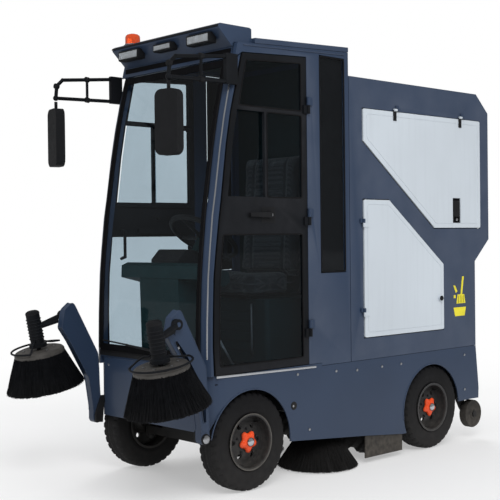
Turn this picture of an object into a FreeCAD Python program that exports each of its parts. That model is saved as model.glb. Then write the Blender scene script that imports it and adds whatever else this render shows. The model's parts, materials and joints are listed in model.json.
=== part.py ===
import FreeCAD, Part
import Sketcher
import math
import os

# Ride-on street sweeper with a closed cab: parametric assembly in millimetres.
# Frame: +Z up, ground at Z = 0, front towards -Y, the machine's left side is +X.
# Station lines along Y are counted from the middle of the wheelbase and moved by the cell y_off,
# so the row's origin is the middle of the machine's footprint on the ground.

V = FreeCAD.Vector
Rot = FreeCAD.Rotation
doc = FreeCAD.newDocument("ride_on_sweeper")
sheet = doc.addObject("Spreadsheet::Sheet", "dims")
CELLS = {}
BINDINGS = []
NODES = {}


def cell(alias, value):
    """Put one plain number in the sheet under an alias and give the alias back."""
    if alias in CELLS:
        if abs(CELLS[alias] - value) > 1e-9:
            raise ValueError("cell %s has two values" % alias)
        return "dims." + alias
    CELLS[alias] = float(value)
    row = len(CELLS)
    sheet.set("A%d" % row, alias)
    sheet.set("B%d" % row, "%.6g" % value)
    sheet.setAlias("B%d" % row, alias)
    return "dims." + alias


def bind(obj, prop, expr):
    BINDINGS.append((obj, prop, expr))


class Q:
    """A size: its number, and the sheet expression that drives it."""

    def __init__(self, v, e):
        self.v = float(v)
        self.e = e

    def __add__(self, o):
        return Q(self.v + val(o), "(%s + %s)" % (self.e, txt(o)))

    def __sub__(self, o):
        return Q(self.v - val(o), "(%s - %s)" % (self.e, txt(o)))

    def __radd__(self, o):
        return Q(val(o) + self.v, "(%s + %s)" % (txt(o), self.e))

    def __rsub__(self, o):
        return Q(val(o) - self.v, "(%s - %s)" % (txt(o), self.e))

    def __mul__(self, o):
        return Q(self.v * val(o), "(%s * %s)" % (self.e, txt(o)))

    def __neg__(self):
        return Q(-self.v, "(0 - %s)" % self.e)


def val(o):
    return o.v if isinstance(o, Q) else float(o)


def txt(o):
    return o.e if isinstance(o, Q) else "%.6g" % o


def D(alias, value):
    return Q(value, cell(alias, value))


def q(name, key, value):
    """Turn a literal into a sheet cell named after its feature."""
    return value if isinstance(value, Q) else D("%s_%s" % (name, key), value)


# ---- driving dimensions of the machine -------------------------------------------------------
y_off = D("y_off", 75.6)
half_w = D("body_half_width", 440)
skin = D("panel_skin", 5)
axle_f = D("axle_front_y", -695)
axle_r = D("axle_rear_y", 695)
tyre_r = D("tyre_radius", 233)
tyre_w = D("tyre_width", 120)
wheel_x = D("wheel_centre_x", 380)
bore_r = D("hub_bore_radius", 25.05)
spindle_r = D("spindle_radius", 25)
king_x = D("kingpin_x", 330)


def place(o, x, y, z, rot=None):
    o.Placement = FreeCAD.Placement(V(val(x), val(y) + y_off.v, val(z)), rot or Rot())
    bind(o, "Placement.Base.x", txt(x))
    bind(o, "Placement.Base.y", "%s + dims.y_off" % txt(y))
    bind(o, "Placement.Base.z", txt(z))


def box(n, x0, x1, y0, y1, z0, z1):
    a = [q(n, k, v) for k, v in zip(("x0", "x1", "y0", "y1", "z0", "z1"), (x0, x1, y0, y1, z0, z1))]
    o = doc.addObject("Part::Box", n)
    for prop, lo, hi in (("Length", a[0], a[1]), ("Width", a[2], a[3]), ("Height", a[4], a[5])):
        setattr(o, prop, hi.v - lo.v)
        bind(o, prop, "%s - %s" % (hi.e, lo.e))
    place(o, a[0], a[2], a[4])
    return o


AXROT = {"x": Rot(V(0, 1, 0), 90), "y": Rot(V(1, 0, 0), -90), "z": Rot()}


def cyl(n, axis, s0, s1, c0, c1, r, r2=None):
    """A cylinder or cone along a row axis from station s0 to s1; c0, c1 are the other two coordinates."""
    s0, s1, c0, c1, r = [q(n, k, v) for k, v in zip(("s0", "s1", "c0", "c1", "rad"), (s0, s1, c0, c1, r))]
    if r2 is None:
        o = doc.addObject("Part::Cylinder", n)
        o.Radius = r.v
        bind(o, "Radius", r.e)
    else:
        r2 = q(n, "rad2", r2)
        o = doc.addObject("Part::Cone", n)
        o.Radius1 = r.v
        o.Radius2 = r2.v
        bind(o, "Radius1", r.e)
        bind(o, "Radius2", r2.e)
    o.Height = s1.v - s0.v
    bind(o, "Height", "%s - %s" % (s1.e, s0.e))
    if axis == "x":
        place(o, s0, c0, c1, AXROT["x"])
    elif axis == "y":
        place(o, c0, s0, c1, AXROT["y"])
    else:
        place(o, c0, c1, s0)
    return o


def rod(n, p0, p1, r):
    """A round bar between two points."""
    a, b = V(*p0), V(*p1)
    h = q(n, "len", (b - a).Length)
    r = q(n, "rad", r)
    o = doc.addObject("Part::Cylinder", n)
    o.Radius = r.v
    o.Height = h.v
    bind(o, "Radius", r.e)
    bind(o, "Height", h.e)
    place(o, q(n, "x", a.x), q(n, "y", a.y), q(n, "z", a.z), Rot(V(0, 0, 1), b - a))
    return o


def ball(n, x, y, z, r):
    o = doc.addObject("Part::Sphere", n)
    r = q(n, "rad", r)
    o.Radius = r.v
    bind(o, "Radius", r.e)
    place(o, q(n, "x", x), q(n, "y", y), q(n, "z", z))
    return o


def tube(n, pts, r):
    """A bent tube: round bars with ball corners, one solid."""
    bits = [rod("%s_%d" % (n, i), pts[i], pts[i + 1], r) for i in range(len(pts) - 1)]
    bits += [ball("%s_b%d" % (n, i), *pts[i], r * 1.12) for i in range(1, len(pts) - 1)]
    return fuse(n, bits) if len(bits) > 1 else bits[0]


def draw(sk, n, pts, tag=""):
    """Add a closed, fully constrained polygon to a sketch."""
    g0 = len(sk.Geometry)
    c = len(pts)
    nums = [(val(a), val(b)) for a, b in pts]
    for i in range(c):
        a, b = nums[i], nums[(i + 1) % c]
        sk.addGeometry(Part.LineSegment(V(a[0], a[1], 0), V(b[0], b[1], 0)), False)
    cons = [Sketcher.Constraint("Coincident", g0 + i, 2, g0 + (i + 1) % c, 1) for i in range(c)]
    sk.addConstraint(cons)
    for i, (a, b) in enumerate(pts):
        for kind, v, k in (("DistanceX", a, "u"), ("DistanceY", b, "v")):
            idx = sk.addConstraint(Sketcher.Constraint(kind, -1, 1, g0 + i, 1, val(v)))
            nm = "%s%s%d" % (tag, k, i)
            sk.renameConstraint(idx, nm)
            bind(sk, "Constraints.%s" % nm, q(n, nm, v).e)


def circle(sk, n, cu, cv, r, tag):
    g = sk.addGeometry(Part.Circle(V(val(cu), val(cv), 0), V(0, 0, 1), val(r)), False)
    for kind, args, v, k in (("DistanceX", (-1, 1, g, 3), cu, "cu"), ("DistanceY", (-1, 1, g, 3), cv, "cv"),
                             ("Radius", (g,), r, "rr")):
        idx = sk.addConstraint(Sketcher.Constraint(kind, *args, val(v)))
        nm = "%s%s" % (tag, k)
        sk.renameConstraint(idx, nm)
        bind(sk, "Constraints.%s" % nm, q(n, nm, v).e)


def prism(n, plane, pts, a0, a1, holes=(), rings=(), round_r=0, round_at=None):
    """A PartDesign body: a polygon drawn on an origin plane and padded from a0 to a1."""
    body = doc.addObject("PartDesign::Body", n)
    sk = body.newObject("Sketcher::SketchObject", n + "_sk")
    role = {"yz": "YZ_Plane", "xz": "XZ_Plane", "xy": "XY_Plane"}[plane]
    sk.AttachmentSupport = [([f for f in body.Origin.OriginFeatures if f.Role == role][0], "")]
    sk.MapMode = "FlatFace"
    draw(sk, n, pts)
    for i, hole in enumerate(holes):
        draw(sk, n, hole, "h%d" % i)
    for i, (cu, cv, r) in enumerate(rings):
        circle(sk, n, cu, cv, r, "c%d" % i)
    a0, a1 = q(n, "a0", a0), q(n, "a1", a1)
    pad = body.newObject("PartDesign::Pad", n + "_pad")
    pad.Profile = sk
    pad.Length = a1.v - a0.v
    bind(pad, "Length", "%s - %s" % (a1.e, a0.e))
    sk.Visibility = False
    if plane == "yz":
        place(body, a0, 0, 0)
    elif plane == "xz":
        place(body, 0, a1, 0)
    else:
        place(body, 0, 0, a0)
    if round_r:
        doc.recompute([sk, pad, body])
        names = []
        for i, e in enumerate(pad.Shape.Edges):
            if len(e.Vertexes) != 2 or e.Curve.TypeId != "Part::GeomLine":
                continue
            d = e.Vertexes[1].Point - e.Vertexes[0].Point
            if abs(d.Length - (a1.v - a0.v)) > 1e-4:
                continue
            w = {"yz": abs(d.x), "xz": abs(d.y), "xy": abs(d.z)}[plane]
            if abs(w - d.Length) > 1e-4:
                continue
            p = e.Vertexes[0].Point
            uv = {"yz": (p.y, p.z), "xz": (p.x, p.z), "xy": (p.x, p.y)}[plane]
            if round_at is not None and not any(abs(uv[0] - val(pts[k][0])) < 0.01 and abs(uv[1] - val(pts[k][1])) < 0.01
                                                for k in round_at):
                continue
            names.append("Edge%d" % (i + 1))
        f = body.newObject("PartDesign::Fillet", n + "_fil")
        f.Base = (pad, names)
        rr = q(n, "round", round_r)
        f.Radius = rr.v
        bind(f, "Radius", rr.e)
        body.Tip = f
    return body


def spin(n, axis, pts, s, c0, c1, tilt=None):
    """A PartDesign revolution of (radius, station) points about a row axis through c0, c1, starting at s."""
    body = doc.addObject("PartDesign::Body", n)
    sk = body.newObject("Sketcher::SketchObject", n + "_sk")
    sk.AttachmentSupport = [([f for f in body.Origin.OriginFeatures if f.Role == "XZ_Plane"][0], "")]
    sk.MapMode = "FlatFace"
    draw(sk, n, pts)
    rv = body.newObject("PartDesign::Revolution", n + "_rev")
    rv.Profile = sk
    rv.ReferenceAxis = (sk, ["V_Axis"])
    rv.Angle = 360
    sk.Visibility = False
    s, c0, c1 = q(n, "s", s), q(n, "c0", c0), q(n, "c1", c1)
    rot = AXROT[axis] if tilt is None else tilt
    if axis == "x":
        place(body, s, c0, c1, rot)
    elif axis == "y":
        place(body, c0, s, c1, rot)
    else:
        place(body, c0, c1, s, rot)
    return body


PLROT = {"yz": Rot(V(0, 1, 0), V(0, 0, 1), V(1, 0, 0), "ZXY"),
         "xy": Rot(),
         "xz": Rot(V(1, 0, 0), V(0, 0, 1), V(0, -1, 0), "ZXY")}


def loft(n, plane, sections):
    """A ruled loft through polygons [(station, points), ...] with equal point counts."""
    sks = []
    for i, (a, pts) in enumerate(sections):
        sk = doc.addObject("Sketcher::SketchObject", "%s_s%d" % (n, i))
        a = q(n, "st%d" % i, a)
        draw(sk, "%s_s%d" % (n, i), pts)
        if plane == "yz":
            place(sk, a, 0, 0, PLROT[plane])
        elif plane == "xz":
            place(sk, 0, a, 0, PLROT[plane])
        else:
            place(sk, 0, 0, a)
        sks.append(sk)
    o = doc.addObject("Part::Loft", n)
    o.Sections = sks
    o.Solid = True
    o.Ruled = True
    return o


def fuse(n, objs):
    o = doc.addObject("Part::MultiFuse", n)
    o.Shapes = objs
    o.Refine = False
    return o


def cut(n, base, tools):
    o = doc.addObject("Part::Cut", n)
    o.Base = base
    o.Tool = tools[0] if len(tools) == 1 else fuse(n + "_tools", tools)
    o.Refine = False
    return o


def common(n, a, b):
    o = doc.addObject("Part::Common", n)
    o.Base = a
    o.Tool = b
    o.Refine = False
    return o


def comp(n, objs):
    o = doc.addObject("Part::Compound", n)
    o.Links = objs
    return o


def mirror(n, src):
    o = doc.addObject("Part::Mirroring", n)
    o.Source = src
    o.Base = V(0, 0, 0)
    o.Normal = V(1, 0, 0)
    return o


def node(name, obj):
    obj.Label = name
    NODES[name] = obj
    return obj


def pair(n, src):
    return [src, mirror(n + "_m", src)]


# ---- chassis frame: ladder rails, cross members, cab floor and rear deck ---------------------
rail = box("rail", 130, 190, -880, 1090, 300, 380)
bits = pair("rail", rail)
bits.append(box("cross_front", -192, 192, -880, -830, 300, 380))
bits.append(box("cross_mid", -425, 425, -240, -190, 300, 380))
bits.append(box("cross_rear_a", -290, 290, 470, 520, 300, 380))
bits.append(box("cross_rear_b", -425, 425, 1030, 1090, 300, 380))
bits.append(box("deck", -423, 423, -895, 1100, 543, 558))
for i, y in enumerate((-870, -230, 480, 1035)):
    bits += pair("post%d" % i, box("post%d" % i, 130, 190, y, y + 50, 380, 543))
bits += pair("prong", box("prong", 130, 180, -934, -870, 360, 380))
bits.append(box("front_beam", -398, 398, -934, -912, 360, 400))
piv_y, piv_z = D("arm_pivot_y", -978), D("arm_pivot_z", 285)
arm_clevis = prism("arm_clevis", "yz", [(-925, 362), (-925, 398), (-962, 398), (-1000, 304), (-1000, 266), (-958, 262), (-951, 336), (-946, 362)],
                   384, 398)
bits += pair("arm_clevis", arm_clevis)
bits += pair("arm_stub", cyl("arm_stub", "x", 386, 446, piv_y, piv_z, 12))
eye = prism("tow_eye", "yz", [(1035, 300), (1035, 200), (1150, 186), (1218, 184), (1232, 196), (1232, 216), (1218, 230), (1120, 236), (1090, 300)],
            -8, 8, rings=[(1206, 206, 12)])
bits.append(eye)
roller_lug = box("roller_lug", 330, 350, 60, 100, 180, 300)
lug_bridge = box("lug_bridge", 190, 350, 55, 105, 300, 340)
bits += pair("roller_lug", cut("roller_lug_c", roller_lug, [cyl("roller_lug_bore", "x", 320, 360, 80, 205, 12.05)]))
bits += pair("lug_bridge", lug_bridge)
bits += pair("mid_mount", box("mid_mount", 190, 310, -110, -30, 300, 330))
bits += pair("bump_mount", box("bump_mount", 362, 400, 990, 1090, 240, 302))
bits += pair("seat_rail", box("seat_rail", 120, 150, -420, -40, 884, 900))
SEAT_RAILS = bits[-2:]
FRAME_BITS = bits[:-2]

# ---- lower body: bumper, side skirts with wheel arches, rear apron -----------------------------
low_out = prism("low_out", "yz", [(-962, 628), (-942, 297), (-700, 297), (-700, 203), (-451, 201), (113, 151), (430, 118), (470, 118),
                                  (940, 236), (1051, 238), (1137, 236), (1140, 300), (1113, 546), (-204, 546), (-204, 560),
                                  (-898, 560), (-898, 628)], -440, 440)
low_in = prism("low_in", "yz", [(-963, 700), (-955.5, 628), (-937, 297), (-937, 80), (1132, 80), (1135, 300), (1107, 546),
                                (1107, 700)], -435, 435)
PLAN = [(440, 1200), (440, -852), (436, -884), (425, -912), (408, -934), (384, -951), (350, -961), (250, -968), (0, -971)]


def plan_pts(inset):
    half = [(x - (inset if x > 0 else 0), y + (inset if y < 0 else 0)) for x, y in PLAN]
    return half + [(-x, y) for x, y in reversed(half[:-1])]


plan_out = prism("plan_out", "xy", plan_pts(0), 60, 800)
plan_in = prism("plan_in", "xy", plan_pts(5), 60, 800)
low_a = common("low_a", low_out, plan_out)
low_b = common("low_b", low_in, plan_in)
arch_f = cyl("arch_front", "x", -460, 460, D("arch_f_y", -690), D("arch_f_z", 222), 255)
arch_r = cyl("arch_rear", "x", -460, 460, D("arch_r_y", 690), D("arch_r_z", 222), 250)
clevis_gap = box("clevis_gap", 381, 401, -970, -925, 357, 403)
eye_gap = box("eye_gap", -12, 12, 1030, 1200, 180, 246)
foot_gap = box("pillar_foot_gap", 392, 441, -972, -897, 561.5, 640)
cowl_gap = box("cowl_gap", -397, 397, -972, -897, 597.5, 640)
low = cut("low_cut", low_a, [low_b, arch_f, arch_r, eye_gap, cowl_gap] + pair("clevis_gap", clevis_gap) + pair("foot_gap", foot_gap))
node("lower_body_panels", low)

# ---- cab frame: side frames, front pillars, header and rear wall --------------------------------
DOOR_FRONT = [(-726, 2053), (-761, 1913), (-798, 1773), (-826, 1623), (-861, 1370), (-876, 1277), (-895, 1138), (-910, 1011),
              (-917, 820), (-919, 693), (-914, 562)]
side = prism("side_frame", "yz", [(-295, 562), (-204, 562), (-204, 548), (14, 548), (14, 2136), (-653, 2105), (-752, 2100),
                                  (-770, 2029), (-733, 2053), (-724, 2058), (-295, 2081)], 424, 440,
             holes=[[(-204, 1010), (-15, 1010), (-15, 2101), (-204, 2101)]])
PILLAR_FRONT = [(-770, 2029), (-808, 1895), (-841, 1752), (-868, 1608), (-900, 1400), (-918, 1297), (-936, 1138), (-948, 1011),
                (-957, 820), (-960, 693), (-962, 562)]
pil_in = [(y + 0, z) for y, z in PILLAR_FRONT] + [(y + 4, z) for y, z in reversed(DOOR_FRONT)]
pil_mid = [(y + 7, z) for y, z in PILLAR_FRONT] + [(y - 3, z) for y, z in reversed(DOOR_FRONT)]
pil_out = [(y + 26, z) for y, z in PILLAR_FRONT] + [(y - 6, z) for y, z in reversed(DOOR_FRONT)]
pil = loft("pillar", "yz", [(394, pil_in), (420, pil_mid), (438, pil_out)])
header = prism("header", "yz", [(-770, 2030), (-745, 2030), (-700, 2090), (-653, 2100), (-653, 2105), (-752, 2100)], -425, 425)
cowl = prism("cowl", "yz", [(-960, 598), (-900, 598), (-900, 629), (-962, 629)], -395, 395)
rear_wall = box("cab_rear_wall", -425, 425, 6, 14, 560, 2136)
rail_top = prism("roof_rail", "yz", [(-653, 2085), (14, 2110), (14, 2136), (-653, 2105)], 390, 425)
body_knuckles = []
for i, z in enumerate((742, 1292, 1842)):
    k = fuse("body_knuckle%d" % i, [cyl("body_knuckle_c%d" % i, "z", z, z + 40, 450, -293, 9),
                                    box("body_leaf%d" % i, 438, 450, -293, -262, z, z + 40)])
    body_knuckles += pair("body_knuckle%d" % i, k)
cab_frame = fuse("cab_fuse", body_knuckles + pair("side_frame", side) + pair("pillar", pil) + pair("roof_rail", rail_top) + [header, cowl, rear_wall])
node("cab_frame", cab_frame)

# ---- roof and sun-visor box ----------------------------------------------------------------------
roof = prism("roof_skin", "yz", [(18, 2138), (18, 2163), (-640, 2133), (-640, 2107)], -440, 440)
lamp_gap = box("lamp_gap", 189, 356, -870, -806, 2099, 2151)
lamp_mid_gap = box("lamp_mid_gap", -71, 71, -870, -806, 2107, 2147)
visor = prism("visor_box", "yz", [(-640, 2107), (-640, 2176), (-652, 2182), (-836, 2182), (-846, 2176), (-848, 2160), (-762, 2079),
                                  (-775, 2031), (-772, 2031), (-753, 2102)], -416, 416)
node("cab_roof", cut("roof_cut", fuse("roof_fuse", [roof, visor]), pair("lamp_gap", lamp_gap) + [lamp_mid_gap]))

# ---- fixed glass: windscreen and the two narrow quarter lights -------------------------------------
WS = [(-775, 2024), (-808, 1895), (-841, 1752), (-870, 1600), (-900, 1420), (-918, 1307), (-932, 1180), (-943, 1087), (-952, 960),
      (-957, 883), (-961, 760), (-963, 632)]
screen = prism("windscreen", "yz", WS + [(y + 6, z) for y, z in reversed(WS)], -391, 391)
quarter = box("quarter_light", 430, 436, -202, -17, 1012, 2099)
node("cab_glass", comp("glass_group", [screen] + pair("quarter_light", quarter)))

# ---- rear body: hollow shell with hatch openings ----------------------------------------------------
hop_out = prism("hop_out", "yz", [(18, 548), (18, 2018), (1138, 2018), (1255, 1913), (1255, 1168), (1113, 1040), (1113, 548)], -440, 440)
hop_in = prism("hop_in", "yz", [(23, 500), (23, 2013), (1136, 2013), (1250, 1911), (1250, 1170.5), (1108, 1042.5), (1108, 500)], -435, 435)
UP = [(123, 1859), (1165, 1859), (1165, 1236), (725, 1236), (123, 1691)]
LO = [(123, 1384), (329, 1384), (803, 1031), (803, 664), (123, 664)]
UPH = [(118, 1863), (1170, 1863), (1170, 1231), (722, 1231), (118, 1687)]
LOH = [(118, 1389), (331, 1389), (808, 1034), (808, 659), (118, 659)]
up_hole = prism("upper_opening", "yz", UPH, -450, 450)
lo_hole = prism("lower_opening", "yz", LOH, -450, 450)
gate_hole = box("gate_opening", -372, 372, 1240, 1270, 1228, 1872)
vent = [box("vent%d" % i, -150, 150, 300 + 60 * i, 330 + 60 * i, 2005, 2030) for i in range(5)]
hop_foot = box("hopper_foot", -434, 434, 10, 24, 540, 558.2)
hopper = cut("hopper_cut", hop_out, [hop_in, up_hole, lo_hole, gate_hole, hop_foot] + vent)
node("hopper_shell", hopper)

# ---- console with steering column -------------------------------------------------------------------
post = prism("console_post", "yz", [(-880, 558), (-690, 558), (-720, 800), (-730, 1010), (-850, 1040), (-890, 1000)], -150, 150, round_r=12,
             round_at=(3, 4, 5))
top = prism("console_top", "yz", [(-893, 1000), (-730, 960), (-690, 985), (-700, 1030), (-850, 1075), (-890, 1060)], -300, 300, round_r=14,
            round_at=(2, 3, 4))
COL_A, COL_B = (0, -740, 990), (0, -610, 1180)
col = rod("column", COL_A, COL_B, 26)
col_dir = V(0, 130, 190).normalize()


def on_col(h):
    return (0, COL_B[1] + col_dir.y * h, COL_B[2] + col_dir.z * h)


stop_ring = cyl("stop_ring", "z", 1020, 1054, 205, -770, 20)
node("dashboard", cut("dash_cut", fuse("dash_fuse", [post, top, col, stop_ring]),
                      [rod("column_bore", on_col(-70), on_col(5), 10.05), cyl("stop_bore", "z", 1026, 1060, 205, -770, 8.05)]))

# ---- battery pack in the seat pedestal ----------------------------------------------------------------
case = prism("battery_case", "xy", [(-280, -430), (280, -430), (280, -30), (-280, -30)], 559, 872, round_r=24)
grooves = [box("case_groove%d" % i, -200, 200, -440, -424, 610 + 50 * i, 622 + 50 * i) for i in range(5)]
lid = prism("battery_lid", "xy", [(-286, -436), (286, -436), (286, -24), (-286, -24)], 872, 884, round_r=26)
node("battery_pack", fuse("battery_fuse", [cut("case_cut", case, grooves), lid] + SEAT_RAILS))

# ---- suction fan and dust bin in the rear body ----------------------------------------------------------
volute = cyl("fan_volute", "z", 1760, 1880, 0, 820, 190)
fan_motor = cyl("fan_motor", "z", 1880, 1990, 0, 820, 85)
outlet = box("fan_outlet", 60, 190, 820, 1080, 1775, 1865)
inlet = cyl("fan_inlet", "z", 1600, 1760, 0, 820, 95)
bracket = box("fan_bracket", -432, 432, 790, 850, 1885, 1893)
node("suction_fan", fuse("fan_fuse", [volute, fan_motor, outlet, inlet, bracket]))
bin_out = prism("bin_out", "yz", [(300, 562), (1095, 562), (1095, 1040), (1180, 1120), (1180, 1160), (300, 1160)], -420, 420)
bin_in = prism("bin_in", "yz", [(306, 568), (1089, 568), (1089, 1043), (1174, 1123), (1174, 1200), (306, 1200)], -414, 414)
node("dust_bin", cut("bin_cut", bin_out, [bin_in]))

# ---- axles, knuckles and wheels ------------------------------------------------------------------
beam = box("axle_beam", -328, 328, -718, -672, 180, 222)
bits = [beam]
for s, k in ((1, "l"), (-1, "r")):
    bits.append(cyl("king_seat_" + k, "z", 176, 222, s * 330, axle_f, 24))
bits += [box("axle_pad", -190, 190, -725, -665, 222, 300)]
front_axle = cut("front_axle_cut", fuse("axle_fuse", bits),
                 pair("king_bore", cyl("king_bore", "z", 170, 230, king_x, axle_f, 14.05)))
kn = [cyl("king_pin", "z", 160, 240, king_x, axle_f, 14), cyl("king_head", "z", 224, 266, king_x, axle_f, 24),
      cyl("king_nut", "z", 152, 172, king_x, axle_f, 20), box("knuckle_web", 332, 359, -713, -677, 226, 261),
      cyl("stub_axle", "x", 357, 428, axle_f, tyre_r, spindle_r), cyl("stub_nut", "x", 420, 436, axle_f, tyre_r, 17),
      cyl("knuckle_disc", "x", 355, 362, axle_f, tyre_r, 34),
      prism("track_arm", "xy", [(326, -707), (326, -683), (276, -680), (275, -600), (249, -600), (249, -690), (262, -704)], 238, 250)]
kn_f = cut("knuckle_cut", fuse("knuckle_fuse", kn), [cyl("tie_bore", "z", 230, 260, 262, -612, 8)])
node("left_knuckle", kn_f)
node("right_knuckle", mirror("right_knuckle_m", kn_f))
rear = [cyl("axle_tube", "x", -330, 330, axle_r, tyre_r, 42), cyl("diff", "x", -90, 90, axle_r, tyre_r, 82),
        cyl("drive_motor", "y", 560, 690, 0, tyre_r, 62), box("axle_seat", 130, 190, 660, 730, 270, 300),
        cyl("rear_stub", "x", -428, 428, axle_r, tyre_r, spindle_r), box("axle_seat_m", -190, -130, 660, 730, 270, 300)]
rear += pair("rear_nut", cyl("rear_nut", "x", 426, 436, axle_r, tyre_r, 17))
node("rear_transaxle", fuse("rear_axle_fuse", rear))
TY = [(128, -52), (150, -58), (190, -60), (214, -57), (226, -50), (232, -40), (233, -20), (233, 20), (232, 40), (226, 50),
      (214, 57), (190, 60), (150, 58), (128, 52)]
RM = [(25.05, 36), (36, 36), (40, 30), (62, 26), (98, 14), (110, 14), (119, 36), (119, 52), (122, 61), (134, 62), (134, 58), (127.9, 54),
      (127.9, -54), (134, -58), (134, -62), (122, -61), (119, -52), (119, 2), (62, 10), (36, -14), (25.05, -14)]
for nm, y in (("front", axle_f), ("rear", axle_r)):
    ty = spin(nm + "_tyre", "x", TY, wheel_x, y, tyre_r)
    rm = spin(nm + "_rim", "x", RM, wheel_x, y, tyre_r)
    holes = [cyl("%s_rimhole%d" % (nm, i), "x", 370, 420, val(y) + 80 * math.cos(i * math.pi / 3), 233 + 80 * math.sin(i * math.pi / 3), 12)
             for i in range(6)]
    rc = cut(nm + "_rim_cut", rm, holes)
    node("left_%s_tyre" % nm, ty)
    node("right_%s_tyre" % nm, mirror("right_%s_tyre_m" % nm, ty))
    node("left_%s_rim" % nm, rc)
    node("right_%s_rim" % nm, mirror("right_%s_rim_m" % nm, rc))

# ---- front side brushes: swing arm, levelled head with motor, bristle disc ---------------------------
ARM = [(-1004, 285), (-1004, 345), (-1026, 489), (-1136, 685), (-1183, 754), (-1164, 844), (-1122, 877), (-1108, 866), (-971, 612),
       (-966, 535), (-964, 458), (-953, 285)]
arm_plate = prism("arm_plate", "yz", ARM, 402, 442, round_r=8, round_at=(3, 4, 5, 6, 7, 8))
arm_slot = prism("arm_slot", "yz", [(-990, 360), (-1010, 490), (-1118, 682), (-1150, 735), (-1138, 745), (-1085, 680), (-986, 520), (-972, 470),
                                    (-972, 360)], 410, 450)
arm_boss = cyl("arm_boss", "x", 402, 442, piv_y, piv_z, 26)
tip_y, tip_z = D("head_pivot_y", -1146), D("head_pivot_z", 815)
arm_top = cyl("arm_top_pin", "x", 440, 470, tip_y, tip_z, 11)
arm = cut("arm_cut", fuse("arm_fuse", [arm_plate, arm_boss, arm_top]),
          [arm_slot, cyl("arm_bore", "x", 395, 450, piv_y, piv_z, 12.05)])
node("left_brush_arm", arm)
node("right_brush_arm", mirror("right_brush_arm_m", arm))
brush_x, brush_y, brush_z = D("brush_x", 488), D("brush_y", -1262), D("brush_z", 640)
PITCH = Rot(V(1, 0, 0), 11)
sn, cs = math.sin(math.radians(11)), math.cos(math.radians(11))


def along(h, side=0):
    return (brush_x.v + side, brush_y.v - sn * h, brush_z.v + cs * h)


hd = [spin("head_motor", "z", [(0, 24), (44, 24), (44, 40), (34, 46), (34, 190), (30, 200), (0, 200)], brush_z, brush_x, brush_y, PITCH),
      rod("head_arm", along(120), (459, -1146, 815), 13), rod("head_eye_bar", along(120), (459, -1170, 790), 13),
      cyl("head_eye", "x", 444, 468, tip_y, tip_z, 24),
      spin("head_spindle", "z", [(0, -16), (10, -16), (10, 24), (0, 24)], brush_z, brush_x, brush_y, PITCH)]
hd_c = cut("head_cut", fuse("head_fuse", hd), [cyl("head_bore", "x", 430, 480, tip_y, tip_z, 11.05)])
node("left_brush_head", hd_c)
node("right_brush_head", mirror("right_brush_head_m", hd_c))
BR = [(10.05, -18), (10.05, 16), (110, 16), (124, 8), (126, -14), (150, -84), (198, -184), (196, -190), (176, -192), (120, -80), (104, -20)]
br = spin("side_brush", "z", BR, brush_z, brush_x, brush_y, PITCH)
node("left_front_brush", br)
node("right_front_brush", mirror("right_front_brush_m", br))

# ---- mid side brushes and the main roller brush --------------------------------------------------------
MB = [(12.05, 150), (12.05, 190), (90, 190), (104, 182), (108, 150), (215, 6), (213, 1), (188, 1), (84, 148)]
mb = spin("mid_brush", "z", MB, 0, 274, -69)
node("left_mid_brush", mb)
node("right_mid_brush", mirror("right_mid_brush_m", mb))
mid_pins = pair("mid_pin", fuse("mid_pin_f", [cyl("mid_pin", "z", 150, 215, 274, -69, 12), cyl("mid_motor", "z", 192, 300, 274, -69, 42)]))
ra = [box("roller_side", 352, 362, 60, 395, 150, 215), cyl("roller_eye", "x", 352, 362, 80, 205, 34), cyl("roller_hub", "x", 352, 362, 330, 131, 40),
      cyl("roller_pin", "x", 328, 352, 80, 205, 12), cyl("roller_stub", "x", 318, 352, 330, 131, 15)]
ra_one = fuse("roller_arm_f", ra)
cross = rod("roller_cross", (-356, 150, 215), (356, 150, 215), 14)
node("roller_arm", fuse("roller_arm_fuse", pair("roller_arm_f", ra_one) + [cross]))
rb = spin("roller_body", "x", [(15.05, -344), (130, -344), (130, 344), (15.05, 344)], 0, 330, 131)
node("roller_brush", rb)

# ---- rear support rollers -------------------------------------------------------------------------------
rr = spin("rear_roller", "x", [(10.05, -24), (30, -24), (34, -20), (66, -20), (76, -24), (80, -18), (80, 18), (76, 24), (66, 20), (34, 20),
                               (30, 24), (10.05, 24)], 408, 1100, 145)
node("left_rear_roller", rr)
node("right_rear_roller", mirror("right_rear_roller_m", rr))
roller_pins = pair("bump_pin", fuse("bump_pin_f", [cyl("bump_pin", "x", 366, 438, 1100, 145, 10), cyl("bump_cap", "x", 433, 440, 1100, 145, 17),
                                                   prism("bump_arm", "yz", [(1000, 245), (1062, 245), (1120, 165), (1118, 128), (1085, 125), (1040, 180)],
                                                         366, 380)]))
FRAME_BITS += [front_axle] + mid_pins + roller_pins
node("chassis_frame", fuse("chassis_fuse", FRAME_BITS))


def shrink(pts, d):
    """Pull a convex polygon's corners towards its middle by about d."""
    cu = sum(val(p[0]) for p in pts) / len(pts)
    cv = sum(val(p[1]) for p in pts) / len(pts)
    out = []
    for u, v in pts:
        du, dv = cu - u, cv - v
        out.append((u + (d if du > 0 else -d), v + (d if dv > 0 else -d)))
    return out


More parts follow.
